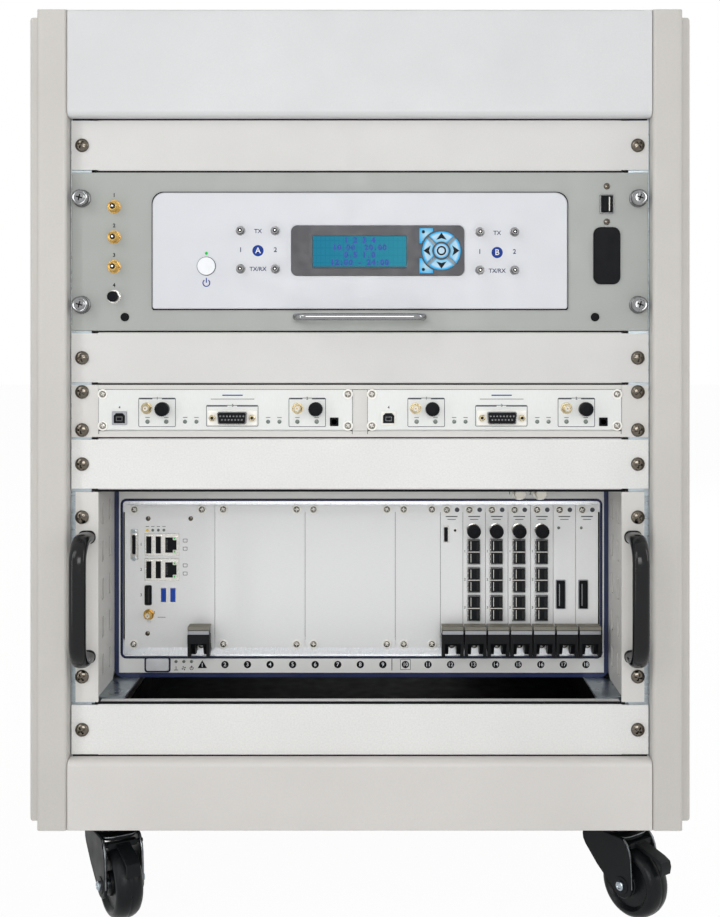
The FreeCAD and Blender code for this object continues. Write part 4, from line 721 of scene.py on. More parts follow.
# ------------------------------------------------------------ screws
def make_screws():
    """Screws of the panels, the radio fronts, the cards and the data socket."""
    foot = low("rack_rails", 2)
    rows = [foot + unit * RACK_UNIT for unit in (0.5, 5.5, 7.5, 11.5)]
    rows += [RADIO_Z - 15.9, RADIO_Z + 15.9, CHASSIS_Z - 66.7, CHASSIS_Z + 66.7]
    panel = [(x, PANEL_Y, z) for z in rows for x in (-HOLE_X, HOLE_X)]
    repeat("panel_screws", cross_screw("panel_screw", 5.75, 3.4, 2.9, 1.9), panel, DARK_NICKEL, spin=80)

    # radio fronts, filler panels (first slot and width in slots), controller and card fronts
    small = [(side * RADIO_X + sx * 102.5, RADIO_Y, RADIO_Z + sz * 13.2 + 0.9)
             for side in (-1, 1) for sx in (-1, 1) for sz in (-1, 1)]
    card = []
    for first, slots in ((4, 4), (8, 4), (12, 2)):
        left, right = SLOT_0 + first * SLOT_PITCH, SLOT_0 + (first + slots) * SLOT_PITCH
        card += [(x, z) for x in (left + 7.6, right - 7.6) for z in (62.6, -58.9)]
    card += [(-204.6, 62.5), (-143.8, 62.5), (-205.3, -58.9)]
    card += [(76.9 + i * SLOT_PITCH, 62.2) for i in range(7)]
    card = [(x, CARD_Y, CHASSIS_Z + z) for x, z in card]
    repeat("card_screw_collars", collar("collar", 4.2, 2.7), card + small, COLLAR)
    repeat("card_screws", cross_screw("card_screw", 2.7, 1.3, 1.9, 1.1), card + small, SCREW_NICKEL, spin=80)
    usb = [(206.6, PANEL_Y, STATION_Z + z) for z in (54.7, 25.0)]
    repeat("socket_screws", cross_screw("socket_screw", 2.7, 1.3, 1.6, 0.9), usb, DARK_NICKEL, spin=80)
    tiny = [(x, CARD_Y, CHASSIS_Z + z) for x, z in ((-192.2, 54.3), (-153.8, 54.3), (-192.7, -49.2))]
    repeat("tiny_screws", cross_screw("tiny_screw", 2.1, 1.0, 1.2, 0.7), tiny, DARK_NICKEL, spin=80)


def make_thumbscrews():
    """Captive thumbscrews of the station's front: dark collar, knurled and ringed head, and a cross recess drawn as
    dark strokes of painted shade.
    """
    piece = Piece("station_thumbscrews", slot="zinc")
    head = ((5.4, 1.0, 0), (5.4, 2.2, 0), (6.5, 2.6, 0.3), (6.5, 6.4, 0.3), (5.6, 6.8, 0), (5.6, 7.4, 0), (6.4, 7.8, 0),
            (6.4, 10.0, 0), (5.7, 10.7, 0), (5.0, 10.4, 0), (4.4, 10.4, 0), (3.9, 10.9, 0), (2.0, 11.0, 0),
            (TIP, 11.0, 0))
    for x in (-HOLE_X, HOLE_X):
        for z in (STATION_Z - RACK_UNIT, STATION_Z + RACK_UNIT):
            piece.turned([(7.5, 0), (7.5, 0.7), (7.0, 1.0), (TIP, 1.0)], x, z, PANEL_Y, STEEL_DARK, 36)
            piece.knurled(head, x, z, PANEL_Y, CHROME, 60)
            # the cross recess: two dark strokes, painted shade
            for a in (0.5 + x * 0.01, 0.5 + x * 0.01 + math.pi / 2):
                u, v = 2.2 * math.cos(a), 2.2 * math.sin(a)
                piece.line([(x - u, z - v), (x + u, z + v)], 1.1, PANEL_Y - 11.0, SHADE_DARK, 0.06)
    piece.finish()


def make_seams():
    """Dark strips in the gaps between the panels and at the header's and plinth's edges: painted shade where the seams
    fall into shadow.
    """
    piece = Piece("panel_seams", slot="port_black")
    base = low("rack_rails", 2)
    # painted shade in the seams between the panels, and along the header's and plinth's edges
    for unit, half in ((1, 1.0), (5, 1.0), (6, 0.8), (7, 1.0), (8, 0.8), (11, 1.0)):
        z = base + unit * RACK_UNIT
        piece.slab((-222, 222), (z - half, z + half), (PANEL_Y + 0.7, PANEL_Y + 1.9), SHADE_STRIP, 0.1, 0.05)
    for z in (base + 0.4, high("rack_rails", 2) - 0.5):
        piece.slab((-240.5, 240.5), (z - 0.5, z + 0.5), (PANEL_Y + 0.4, PANEL_Y + 1.9), SHADE_STRIP, 0.1, 0.05)
    piece.finish()


# ------------------------------------------------------------ test station
def make_station_jacks():
    """Jacks, plugs, data socket and rounded cover on the station's front."""
    piece = Piece("station_jacks")
    for columns, rows in (((-99.6, -70.6), (17.3, -14.6)), ((100.2, 129.1), (16.2, -15.7))):
        for x in columns:
            for z in rows:
                rf_jack(piece, x, STATION_Z + z, FASCIA_Y, STEEL_DARK, 0.74, BLACK, NICKEL)
    for z in COAX_ROWS:
        coax_jack(piece, COAX_X, STATION_Z + z, PANEL_Y, capped=z == COAX_ROWS[-1])
    for x in (-196.7, 196.7):
        piece.turned([(3.6, 0), (3.6, 0.7), (3.1, 1.2), (2.2, 1.2), (2.0, 0.8), (TIP, 0.8)], x, STATION_Z - 54.8,
                     PANEL_Y, BLACK, 24)
    x, z = (200.6, 212.4), (STATION_Z + 31.7, STATION_Z + 47.9)
    well(piece, x, z, PANEL_Y, STEEL_DARK, SHADE_DARK, 0.9, 1.5, 0.4)
    piece.slab((208.2, 209.1), (z[0] + 2.2, z[1] - 2.2), (PANEL_Y - 1.3, PANEL_Y - 0.2), DIELECTRIC, 0.2, 0.1)
    piece.slab((203.4, 206.6), (z[0] + 2.0, z[1] - 2.0), (PANEL_Y - 1.1, PANEL_Y - 0.2), BLACK, 0.2, 0.1)
    piece.slab((195.2, 217.7), (STATION_Z - 27.4, STATION_Z + 20.4), (PANEL_Y - 2.2, PANEL_Y), BLACK, 6, 0.7)
    piece.finish("station_connectors")


def disc_mark(piece, letter, x, z, y, colour, radius):
    """A printed disc with a pale letter or number in it."""
    piece.flat(circle(radius, 36, x, z), y, colour)
    piece.text(letter, x, z, radius * 1.05, y - 0.08, INK_WHITE)


def make_station_marks():
    """Ink on the station: numbers, group discs, the power sign and its lamp, a painted shadow round the fascia and a
    painted highlight under the display.
    """
    piece = Piece("station_marks", slot="fascia_paint")
    for number, z in enumerate(COAX_ROWS, start=1):
        piece.text(str(number), COAX_X, STATION_Z + z + 9.6, 3.2, PANEL_Y, INK_BLACK, bold=0.03)
    for letter, centre, z in (("A", -85.1, 0.6), ("B", 114.6, -0.9)):
        z += STATION_Z
        disc_mark(piece, letter, centre, z, FASCIA_Y, INK_BLUE, 4.7)
        for words, dx, dz, height in (("1", -14.5, 0.6, 4.0), ("2", 14.5, 0.6, 4.0), ("TX", 0, 16.2, 3.5),
                                      ("TX/RX", 0, -15.4, 3.5)):
            piece.text(words, centre + dx, z + dz, height, FASCIA_Y, INK_NAVY, bold=0.015)
    x, z = -128.2, STATION_Z - 26.3
    piece.arc_band((3.3, 2.4), x, z, math.radians(125), math.radians(290), 24, FASCIA_Y, INK_BLUE)
    piece.line([(x, z + 0.6), (x, z + 3.8)], 0.9, FASCIA_Y, INK_BLUE)
    piece.turned([(1.25, 0), (1.25, 0.4), (0.8, 0.7), (TIP, 0.8)], x, STATION_Z - 1.6, FASCIA_Y, LAMP_GREEN, 20)
    z = STATION_Z - 12.3
    piece.ring(circle(7.95, 48, x, z), circle(7.45, 48, x, z), FASCIA_Y, INK_GREY, 0.25)
    left, right = low("station_fascia", 0), high("station_fascia", 0)
    foot, top = low("station_fascia", 2), high("station_fascia", 2)
    # dark strips along the fascia's edges, widest at its foot, and round its top corners: painted shadow
    for x, z in (((left - 0.7, left + 0.3), (foot, top - 8)), ((right - 0.3, right + 0.8), (foot, top - 8)),
                 ((left + 8, right - 8), (top - 0.3, top + 0.7)), ((left, right), (foot - 1.0, foot + 0.3))):
        piece.slab(x, z, (FASCIA_Y + 1.0, PANEL_Y + 0.1), SHADE_STRIP, 0.05, 0.05)
    for centre, first in ((left + 9, math.pi / 2), (right - 9, 0)):
        piece.arc_band((9.7, 8.6), centre, top - 9, first, math.pi / 2, 8, PANEL_Y, SHADE_STRIP, 1.4)
    # paler grey strip along the display bezel's lower lip: a painted highlight
    piece.slab((-39.8, 39.3), (STATION_Z - 14.6, STATION_Z - 13.0), (BEZEL_Y - 0.05, BEZEL_Y + 0.2), INK_GREY, 0.2,
               0.03)
    piece.finish()


def make_key_marks():
    """Signs on the keys, each riding with its key."""
    y = low("key_up", 1)
    for name, turn in (("key_right", 0), ("key_up", 1), ("key_left", 2), ("key_down", 3)):
        piece = Piece(name + "_mark", name, "key_blue")
        a = turn * math.pi / 2
        for shape in (((15.0, 0), (10.3, 0), (9.0, 4.3)), ((15.0, 0), (9.0, -4.3), (10.3, 0))):
            piece.flat([(PAD_X + u * math.cos(a) - v * math.sin(a), PAD_Z + u * math.sin(a) + v * math.cos(a))
                        for u, v in shape], y, INK_BLACK)
        piece.finish()
    piece = Piece("key_select_mark", "key_select", "key_blue")
    piece.ring(circle(4.0, 32, PAD_X, PAD_Z), circle(2.6, 32, PAD_X, PAD_Z), low("key_select", 1), INK_BLACK)
    piece.finish()
    for name, z in (("key_menu", 16.2), ("key_back", -15.2)):
        piece = Piece(name + "_mark", name, "key_blue")
        piece.flat(circle(1.35, 20, 52.9, STATION_Z + z), low(name, 1), INK_BLACK)
        piece.finish()


def make_display_figures():
    """Four centred rows of plain figures on the display, one sign to a cell."""
    piece = Piece("display_figures", slot="lcd")
    ink = lit("display figures", srgb(6, 48, 150), 0.2)
    for r, row in enumerate(("1 2 3 4", "10.00  20.00", "0.5 1.0", "12:00 - 24:00")):
        z = STATION_Z + 9.3 - r * ROW_HIGH
        for c, sign in enumerate(row):
            if sign != " ":
                x = -0.2 + (c - (len(row) - 1) / 2) * SIGN_WIDE
                piece.text(sign, x, z, 4.6, LCD_Y, ink, 0.03, 0.045)
    piece.finish()


def make_pull_handle():
    """Round chromed bar with turned-in ends."""
    piece = Piece("pull_handle", slot="chrome")
    z = mid("station_handle", 2)
    tip, reach, bend = low("station_handle", 1) + 3, 52.4, 9.0
    points = [(-reach, PANEL_Y, z), (-reach, tip + bend + 8, z)]
    points += [(u, v, z) for u, v in arc(-bend, bend - reach, tip + bend, 0, math.pi / 2, 8)]
    points += [(-x, y, h) for x, y, h in points[::-1]]
    piece.bar(points, (0, 0, 1), (3, 3), CHROME)
    piece.finish("station_handle")


# ------------------------------------------------------------ radio tray
def make_radio_fronts():
    """Jacks, sockets, lamps and printed boxes of the two radio units."""
    piece = Piece("radio_sockets")
    marks = Piece("radio_marks", slot="aluminium")
    y = RADIO_Y
    for sign in (-1, 1):

        def at(x):
            return sign * RADIO_X + x

        for x in (-65.9, 60.2):
            rf_jack(piece, at(x), RADIO_Z + 2.3, y, PALE_GOLD, 0.9)
        for x in (-52.0, 75.7):
            jack_cap(piece, at(x), RADIO_Z + 1.8, y)
        x, z = (at(-94.8), at(-82.2)), (RADIO_Z - 11.6, RADIO_Z - 0.2)
        piece.slab(x, z, (y - 0.8, y), DIELECTRIC if sign > 0 else LABEL_SILVER, 0.8)
        mouth = [(x[0] + 1.6, z[0] + 1.5), (x[1] - 1.6, z[0] + 1.5), (x[1] - 1.6, z[1] - 3.6), (x[1] - 3.6, z[1] - 1.5),
                 (x[0] + 3.6, z[1] - 1.5), (x[0] + 1.6, z[1] - 3.6)]
        piece.stack(((mouth, 0.7), (mouth, 1.1)), y, BLACK)
        piece.slab((x[0] + 3.6, x[1] - 3.6), (z[0] + 3.2, z[1] - 4.4), (y - 1.5, y - 1.0), STEEL_DARK, 0.3, 0.1)
        piece.slab((x[0] + 4.2, x[1] - 4.2), (z[0] + 3.8, z[1] - 5.0), (y - 1.6, y - 1.3), BLACK, 0.2, 0.05)
        make_d_socket(piece, at(6.0), RADIO_Z - 5.6, y)
        piece.turned([(3.6, 0), (3.6, 0.8), (3.0, 1.2), (2.4, 1.2), (2.3, 0.5), (TIP, 0.5)], at(91), RADIO_Z - 9, y,
                     BLACK, 24)
        piece.slab((at(87.4), at(94.6)), (RADIO_Z - 12.6, RADIO_Z - 5.4), (y - 0.5, y), BLACK, 0.5)
        for places, foot, shoulder in (((-65.1, -49.4, 60.2, 76.3), 1.85, 1.3), ((-33.7, -24.2, 35.7, 45.2), 1.7, 1.2)):
            for x in map(at, places):
                piece.turned([(foot, 0), (foot, 0.3), (shoulder, 0.9), (TIP, 1.1)], x, RADIO_Z - 8.9, y, LAMP_OFF, 18)
                marks.line([(x - 1.6, RADIO_Z - 5.4), (x + 1.6, RADIO_Z - 5.4)], 0.5, y, INK_GREY)
        # boxes printed round the jack pairs and the D socket, with a heading band
        for x, z in (((-72.7, -41.5), (-13.3, 11.1)), ((52.9, 84.0), (-13.3, 11.1)), ((-16.1, 27.6), (-12.9, 5.0))):
            left, right, foot, top = at(x[0]), at(x[1]), RADIO_Z + z[0], RADIO_Z + z[1]
            marks.ring(rounded((left, right), (foot, top), 1.2),
                       rounded((left + 0.5, right - 0.5), (foot + 0.5, top - 0.5), 0.9), y, INK_GREY, 0.05)
            centre, half = (left + right) / 2, (right - left) / 2 - 0.6
            for side in (-1, 1):
                marks.slab(sorted((centre + side * 4, centre + side * half)), (top - 1.3, top - 0.1), (y - 0.06, y),
                           INK_GREY, 0.2, 0.02)
        for words, x, z in (("1", -57, 10.6), ("2", 68.5, 10.6), ("3", 6, 4.6), ("4", -88.5, 3.0)):
            marks.text(words, at(x), RADIO_Z + z, 2.4, y, INK_BLACK)
        marks.line([(at(-12), RADIO_Z + 10.0), (at(24), RADIO_Z + 10.0)], 0.5, y, INK_GREY)
        marks.line([(at(-2), RADIO_Z + 13.2), (at(14), RADIO_Z + 13.2)], 1.0, y, INK_BLUE)
    piece.finish("radio_connectors")
    marks.finish()


def make_tray_front():
    """Pale cover frame that fills the tray's front round the two radio fronts."""
    piece = Piece("tray_cover", slot="panel_paint")
    z_low, z_high = low("radio_tray", 2) + 5.2, high("radio_tray", 2)
    foot, top = low("radio_units", 2), high("radio_units", 2)
    y = (PANEL_Y + 0.1, PANEL_Y + 1.8)
    inner, outer = RADIO_X - 106.1, RADIO_X + 106.1
    end = 218.9
    piece.slab((-end, end), (top + 0.1, z_high), y, PANEL_PAINT, 0.1, 0.1)
    piece.slab((-inner, inner), (z_low, top + 0.2), y, PANEL_PAINT, 0.1, 0.1)
    for x in (-outer, -inner, inner, outer):
        piece.slab((x - 0.25, x + 0.25), (foot + 0.5, top), (PANEL_Y - 0.1, PANEL_Y + 0.4), INK_GREY, 0.05, 0.02)
    piece.slab((-outer, outer), (top - 0.1, top + 0.35), (PANEL_Y - 0.05, PANEL_Y + 0.4), INK_GREY, 0.05, 0.02)
    piece.finish()


def make_d_socket(piece, x, z, y):
    """Fifteen-way D socket: flange, shell, insert with contact holes and two hexagon studs."""
    piece.slab((x - 20.5, x + 20.5), (z - 6.2, z + 6.2), (y - 0.8, y), COLLAR, 1.2, 0.2)

    def shell(grow):
        top, foot, half = 12.3 + grow, 10.7 + grow, 5.2 + grow
        right = [(foot, -half), (foot + 0.9, 0.8 - half), (top, half - 1.2), (top - 0.9, half)]
        return [(x - foot, z - half)] + [(x + u, z + v) for u, v in right] + [(x - u, z + v) for u, v in right[:0:-1]]

    piece.ring(shell(0), shell(-0.7), y - 0.8, STEEL_DARK, 4.6, 0.0)
    piece.stack(((shell(-0.6), 5.0), (shell(-0.6), 1.0)), y, BLACK)
    for row, count in ((1.5, 8), (-1.5, 7)):
        for i in range(count):
            px = x + (i - (count - 1) / 2) * 2.75
            piece.turned([(0.75, 4.2), (0.75, 4.35), (0.4, 4.35), (TIP, 4.3)], px, z + row, y - 0.8, STEEL_DARK, 10)
    for px in (x - 16.65, x + 16.65):
        piece.turned([(2.8, 0.8), (2.8, 4.8), (2.4, 5.1)], px, z, y, PALE_GOLD, 6)
        # dark disc in each stud's bore: painted shade
        piece.turned([(1.3, 4.2), (1.3, 4.4), (TIP, 4.4)], px, z, y - 0.8, SHADE_DARK, 14)


# ------------------------------------------------------------ card chassis
def make_number_strip():
    """Slot numbers along the chassis' lower edge, with the lamps and the button's outline."""
    piece = Piece("chassis_marks", slot="chassis_blue")
    y, z = FRAME_Y, CHASSIS_Z - 77.1
    piece.flat([(-147.6, z - 3.2), (-139.2, z - 3.2), (-143.4, z + 4.0)], y, INK_BLACK)
    piece.text("1", -143.4, z - 0.6, 3.4, y - 0.08, INK_WHITE)
    for slot in range(2, 19):
        x = SLOT_0 + (slot + 2.45) * SLOT_PITCH
        if slot == 10:
            piece.ring(rounded((x - 4.7, x + 4.7), (z - 4.7, z + 4.7), 0.6),
                       rounded((x - 4.3, x + 4.3), (z - 4.3, z + 4.3), 0.4), y, INK_GREY)
        disc_mark(piece, str(slot), x, z, y, INK_BLACK, 3.3)
    x = SLOT_0 + 11.85 * SLOT_PITCH
    piece.line([(x, z - 5), (x, z + 5)], 0.6, y, INK_BLACK)
    foot = CHASSIS_Z - 80.4
    for x in (-167.0, -160.0, -153.0):
        piece.turned([(1.4, 0), (1.4, 0.3), (0.9, 0.7), (TIP, 0.8)], x, CHASSIS_Z - 74.3, y, LAMP_OFF, 18)
    piece.line([(-168.6, foot - 1.6), (-165.4, foot - 1.6)], 0.5, y, INK_BLACK)
    piece.line([(-167.0, foot - 1.4), (-167.0, foot + 1.6)], 0.5, y, INK_BLACK)
    for k in range(4):
        blade = [(radius, math.pi / 2 * k + 0.4 + turn) for radius, turn in ((0.3, 1), (1.9, -0.35), (1.9, 0.35))]
        piece.flat([(-160 + r * math.cos(a), foot + r * math.sin(a)) for r, a in blade], y, INK_BLACK)
    piece.ring(circle(1.7, 20, -153.0, foot), circle(1.2, 20, -153.0, foot), y, INK_BLACK)
    piece.line([(-153.0, foot + 0.2), (-153.0, foot + 2.1)], 0.5, y - 0.03, INK_BLACK)
    bx, bz = (-194.1, -173.2), (CHASSIS_Z - 82.7, CHASSIS_Z - 71.3)
    piece.ring(rounded((bx[0] - 1.3, bx[1] + 1.3), (bz[0] - 1.3, bz[1] + 1.3), 2.6), rounded(bx, bz, 1.8), y, BLUE,
               0.5)
    frame_x, frame_z = (-214.8, 214.8), (CHASSIS_Z - 69.4, CHASSIS_Z + 70.1)
    piece.ring(rounded((frame_x[0] - 2.2, frame_x[1] + 2.2), (frame_z[0] - 2.2, frame_z[1] + 2.2), 5.2),
               rounded(frame_x, frame_z, 3.0), y, BLUE, 0.4)
    piece.finish()


def make_reference_jacks():
    """Two plated jacks at the top of the chassis' face, each over its bored seat."""
    piece = Piece("reference_jacks")
    for number, x in (("1", 142.0), ("2", 160.7)):
        z = CHASSIS_Z + 77.45
        coax_jack(piece, x, z, FRAME_Y - 0.2, NICKEL, scale=0.94)
        piece.text(number, x - 8.6, z, 3.0, FRAME_Y, INK_BLACK)
    piece.finish()


def make_card_ports():
    """Sockets of the controller and the cards."""
    piece = Piece("card_sockets", slot="port_black")
    y, m = CARD_Y, CHASSIS_Z
    # controller: narrow D port, two stacks, video port, two fast sockets, trigger jack
    piece.slab((-208.0, -201.0), (m + 17.4, m + 44.6), (y - 0.6, y), NICKEL, 0.8)
    piece.ring(rounded((-206.6, -202.4), (m + 22.2, m + 40.6), 1.6),
               rounded((-206.1, -202.9), (m + 22.7, m + 40.1), 1.3), y - 0.6, NICKEL, 2.6, 0.0)
    piece.slab((-206.0, -203.0), (m + 22.8, m + 40.0), (y - 2.4, y - 0.6), BLACK, 1.2, 0.1)
    for z in (m + 43.1, m + 18.5):
        piece.turned([(1.9, 0.6), (1.9, 3.4)], -204.5, z, y, ZINC, 6)
    for base in (m + 20.8, m - 1.6):
        piece.slab((-195.4, -164.3), (base, base + 20.1), (y - 0.7, y), NICKEL, 0.5, 0.15)
        for x in ((-194.2, -188.4), (-185.7, -179.9)):
            usb_socket(piece, x, (base + 1.8, base + 18.3), y - 0.7)
        well(piece, (-177.4, -165.6), (base + 2.2, base + 17.6), y - 0.7, NICKEL, SHADE_DARK, 0.8, 0.8, 0.3)
        for k in range(8):
            z = base + 5.6 + k * 1.22
            piece.slab((-176.4, -174.4), (z, z + 0.4), (y - 1.1, y - 0.85), STEEL_DARK, 0.05, 0.03)
        for z in (base + 3.9, base + 15.9):
            piece.slab((-169.8, -166.4), (z - 1.6, z + 1.6), (y - 1.9, y - 0.8), DIELECTRIC, 0.5, 0.3)
            piece.slab((-168.7, -167.5), (z - 0.7, z + 0.7), (y - 2.0, y - 1.8), LAMP_GREEN, 0.3, 0.05)
    well(piece, (-195.3, -188.9), (m - 23.6, m - 5.7), y, BLACK, SHADE_DARK, 0.6, 1.2, 1.0)
    piece.slab((-192.6, -190.9), (m - 21.2, m - 8.1), (y - 1.0, y - 0.3), BLACK_GLOSS, 0.2, 0.1)
    for x in ((-181.0, -175.4), (-172.6, -166.9)):
        well(piece, x, (m - 21.2, m - 7.7), y, NICKEL, USB_BLUE, 0.5, 1.0)
        piece.slab((x[0] + 3.0, x[1] - 0.9), (m - 19.6, m - 9.3), (y - 0.9, y - 0.2), USB_BLUE, 0.1, 0.05)
    rf_jack(piece, -191.6, m - 32.1, y, GOLD, 0.92)
    # timing card
    piece.slab((73.6, 78.6), (m + 32.6, m + 47.7), (y - 0.5, y), NICKEL, 0.6)
    well(piece, (74.4, 77.8), (m + 33.6, m + 46.7), y - 0.5, BLACK, SHADE_DARK, 0.5, 0.9, 0.4)
    piece.ring(circle(1.7, 24, 84.4, m + 43.7), circle(1.1, 24, 84.4, m + 43.7), y, NICKEL, 0.4)
    # dark disc inside the ring: painted shade in its hole
    piece.flat(circle(1.1, 20, 84.4, m + 43.7), y, SHADE_DARK)
    # data cards
    for i in range(4):
        shift = i * SLOT_PITCH
        jack_cap(piece, 100.4 + shift, m + 44.6, y, 6.2, 17)
        for base, top in ((13.6, 35.9), (-11.8, 10.7), (-37.3, -14.4)):
            x, z = (95.5 + shift, 106.8 + shift), (m + base, m + top)
            piece.slab(x, z, (y - 3.4, y), STEEL_DARK, 0.4, 0.3)
            middle = (z[0] + z[1]) / 2
            piece.slab((x[0] - 0.5, x[1] + 0.2), (middle - 0.35, middle + 0.35), (y - 3.9, y - 3.3), NICKEL, 0.1, 0.1)
            for k in range(6):
                tooth = z[0] + 0.7 + k * (z[1] - z[0] - 1.4) / 5
                piece.slab((x[0] - 0.6, x[0] + 0.5), (tooth - 0.75, tooth + 0.75), (y - 3.8, y - 0.1), NICKEL, 0.3, 0.2)
            for part in ((z[0] + 0.5, middle - 0.35), (middle + 0.35, z[1] - 0.5)):
                well(piece, (x[0] + 0.7, x[1] - 0.3), part, y - 3.4, STEEL_DARK, SHADE_DARK, 0.35, 0.5, 0.3)
                piece.slab((x[0] + 2.6, x[0] + 3.2), (part[0] + 1.2, part[1] - 1.2), (y - 3.75, y - 3.45), NICKEL,
                           0.1, 0.05)
                piece.slab((x[1] - 3.4, x[1] - 1.1), (part[0] + 1.4, part[1] - 1.4), (y - 3.8, y - 3.45), BLACK_GLOSS,
                           0.1, 0.05)
    for i in range(2):
        shift = i * SLOT_PITCH
        x, z = (175.7 + shift, 183.2 + shift), (m - 26.4, m - 1.5)
        piece.slab((x[0] - 0.8, x[1] + 0.8), (z[0] - 0.8, z[1] + 0.8), (y - 0.5, y), LABEL_SILVER, 0.8)
        piece.slab(x, z, (y - 2.2, y), BLACK, 0.8, 0.3)
        well(piece, (x[0] + 1.4, x[1] - 1.4), (z[0] + 1.6, z[1] - 1.6), y - 2.2, BLACK, SHADE_DARK, 0.5, 0.4, 0.4)
        piece.slab((x[0] + 2.0, x[0] + 2.7), (z[0] + 2.6, z[1] - 2.6), (y - 2.6, y - 2.25), LABEL_SILVER, 0.2, 0.05)
        piece.turned([(1.3, 0), (1.3, 0.4), (0.8, 0.8), (TIP, 0.9)], 177.7 + shift, m + 46.0, y, LAMP_OFF, 18)
    piece.finish("module_ports")


def make_card_marks():
    """Numbers, discs and rules printed on the card fronts."""
    piece = Piece("card_marks", slot="aluminium")
    y, m = CARD_Y, CHASSIS_Z
    for k, x in enumerate((-192.9, -188.0, -183.0, -178.0)):
        piece.turned([(1.25, 0), (1.25, 0.3), (0.8, 0.7), (TIP, 0.8)], x, m + 43.9, y,
                     LAMP_AMBER if k == 0 else LAMP_OFF, 18)
        piece.line([(x - 1.2, m + 47.2), (x + 1.2, m + 47.2)], 0.5, y, INK_GREY)
    for k, z in enumerate((m + 31.0, m + 8.4, m - 14.6)):
        piece.text(str(k + 1), -198.6, z, 2.6, y, INK_BLACK)
    for z in (m + 34.5, m + 27.2, m + 12.1, m + 4.8):
        piece.ring(rounded((-160.9, -156.9), (z - 1.6, z + 1.6), 0.4),
                   rounded((-160.5, -157.3), (z - 1.2, z + 1.2), 0.2), y, INK_BLACK)
    piece.text("1", -186.4, m - 30.4, 2.6, y, INK_BLACK)
    piece.line([(-183.4, m - 34.6), (-176.8, m - 34.6)], 0.45, y, INK_GREY)
    for i in range(7):
        x = SLOT_0 + (14 + i) * SLOT_PITCH + SLOT_PITCH / 2
        piece.flat(circle(2.1, 24, x + 4.9, m + 62.2), y, INK_GREY)
        piece.line([(x - 4.8, m + 56.2), (x + 4.8, m + 56.2)], 0.9, y, INK_GREY)
        piece.line([(x - 3.4, m + 53.6), (x + 3.4, m + 53.6)], 0.6, y, INK_GREY)
        if i in (1, 2, 3, 4):
            for k, z in enumerate((m + 24.8, m - 0.5, m - 25.8)):
                piece.text(str(k + 1), x - 8.4, z, 2.2, y, INK_BLACK)
    piece.finish()


def make_ejector_trims():
    """Grey grip and silver label on each ejector, and the screw that shows between its legs."""
    screws = []
    half = 9.8
    for node in EJECTORS:
        piece = Piece(node + "_trim", node, "ejector_black")
        x, y, top = mid(node, 0), low(node, 1), high(node, 2)
        piece.slab((x - half + 0.5, x + half - 0.5), (top - 6.6, top - 3.2), (y - 0.35, y + 0.3), LABEL_SILVER, 0.4,
                   0.15)
        piece.slab((x - half + 0.1, x + half - 0.1), (top - 3.0, top + 0.3), (y - 0.3, y + 3), EJECTOR_TOP, 0.5, 0.4)
        piece.slab((x - half + 0.3, x + half - 0.3), (top - 6.6, top), (y + 0.2, y + 8), EJECTOR_BLACK, 0.2, 0.2)
        piece.slab((x - half + 0.1, x + half - 0.1), (top - 0.5, top + 0.3), (y + 2.6, y + 13), EJECTOR_TOP, 0.2, 0.2)
        for k in range(5):
            rib = (y + 3.4 + k * 1.9, y + 4.3 + k * 1.9)
            piece.slab((x - half + 0.6, x + half - 0.6), (top - 0.2, top + 0.6), rib, EJECTOR_TOP, 0.1, 0.1)
        piece.slab((x - half - 0.1, x + half + 0.1), (top - 15.2, top - 6.8), (y - 0.3, y + 8), EJECTOR_BLACK, 0.5, 0.4)
        for side in (-1, 1):
            leg = sorted((x + side * half, x + side * (half - 3)))
            piece.slab(leg, (low(node, 2), top - 14), (y - 0.1, y + 7), EJECTOR_BLACK, 0.3, 0.3)
        piece.finish()
        screws.append((x, CARD_Y, low(node, 2) + 6.6))
    repeat("ejector_screws", cross_screw("ejector_screw", 3.2, 1.4, 2.0, 0.9), screws, NICKEL, spin=80)


def make_chassis_handles():
    """Glossy moulded bows with a rounded section, a little fuller at the feet."""
    piece = Piece("bow_handles", slot="handle_black")
    tip = low("chassis_handles", 1) + 5
    top, foot = high("chassis_handles", 2) - 5, low("chassis_handles", 2) + 5
    bend = 18.0
    for x in (-228.5, 228.5):
        points = [(x, PANEL_Y, top), (x, PANEL_Y - 8, top)]
        points += [(x, v, u) for u, v in arc(bend, top - bend, tip + bend, 0, -math.pi / 2, 10)]
        points.append((x, tip, (top + foot) / 2))
        points += [(px, py, top + foot - pz) for px, py, pz in points[-2::-1]]
        piece.bar(points, (1, 0, 0), (7, 5), BLACK_GLOSS, 32, 2.4)
        for z in (top, foot):
            piece.slab((x - 7.4, x + 7.4), (z - 5.6, z + 5.6), (PANEL_Y - 1.4, PANEL_Y), BLACK_GLOSS, 5, 0.5)
    piece.finish("chassis_handles")


# ------------------------------------------------------------ casters
CASTER_YAW = {"fl": 30, "fr": 38, "rl": 24, "rr": 24}
WHEEL_RIM = ((4.3, 0), (4.3, 11.6), (9.2, 11.6), (9.9, 11.0), (10.3, 8.8), (19.6, 8.2), (21.4, 10.6), (22.8, 11.7),
             (24.6, 11.6), (26.6, 10.4), (28.3, 8.2), (29.4, 5.4), (29.9, 2.6), (30.0, 0.8), (29.85, 0.35), (29.8, 0))
AXLE_Z, TRAIL = 30, 27      # axle above the floor, and king pin to axle
FORK_SIDE = ([(11 * math.cos(math.radians(a)), AXLE_Z + 11 * math.sin(math.radians(a))) for a in range(-148, 13, 16)]
             + [(10.2, 44), (9.4, 54), (8.0, 60), (5.2, 65.6), (1.6, 69), (-2, 70), (-36, 70), (-41.2, 68.8),
                (-44.2, 65.6), (-45, 61), (-44.4, 57), (-41.6, 52.6), (-28, 39)])


def hoop(put, a, t, z, radius, steps):
    """A circle in the wheel's plane, a across it, round t, z."""
    return [put(a, u, v) for u, v in circle(radius, steps, t, z)]


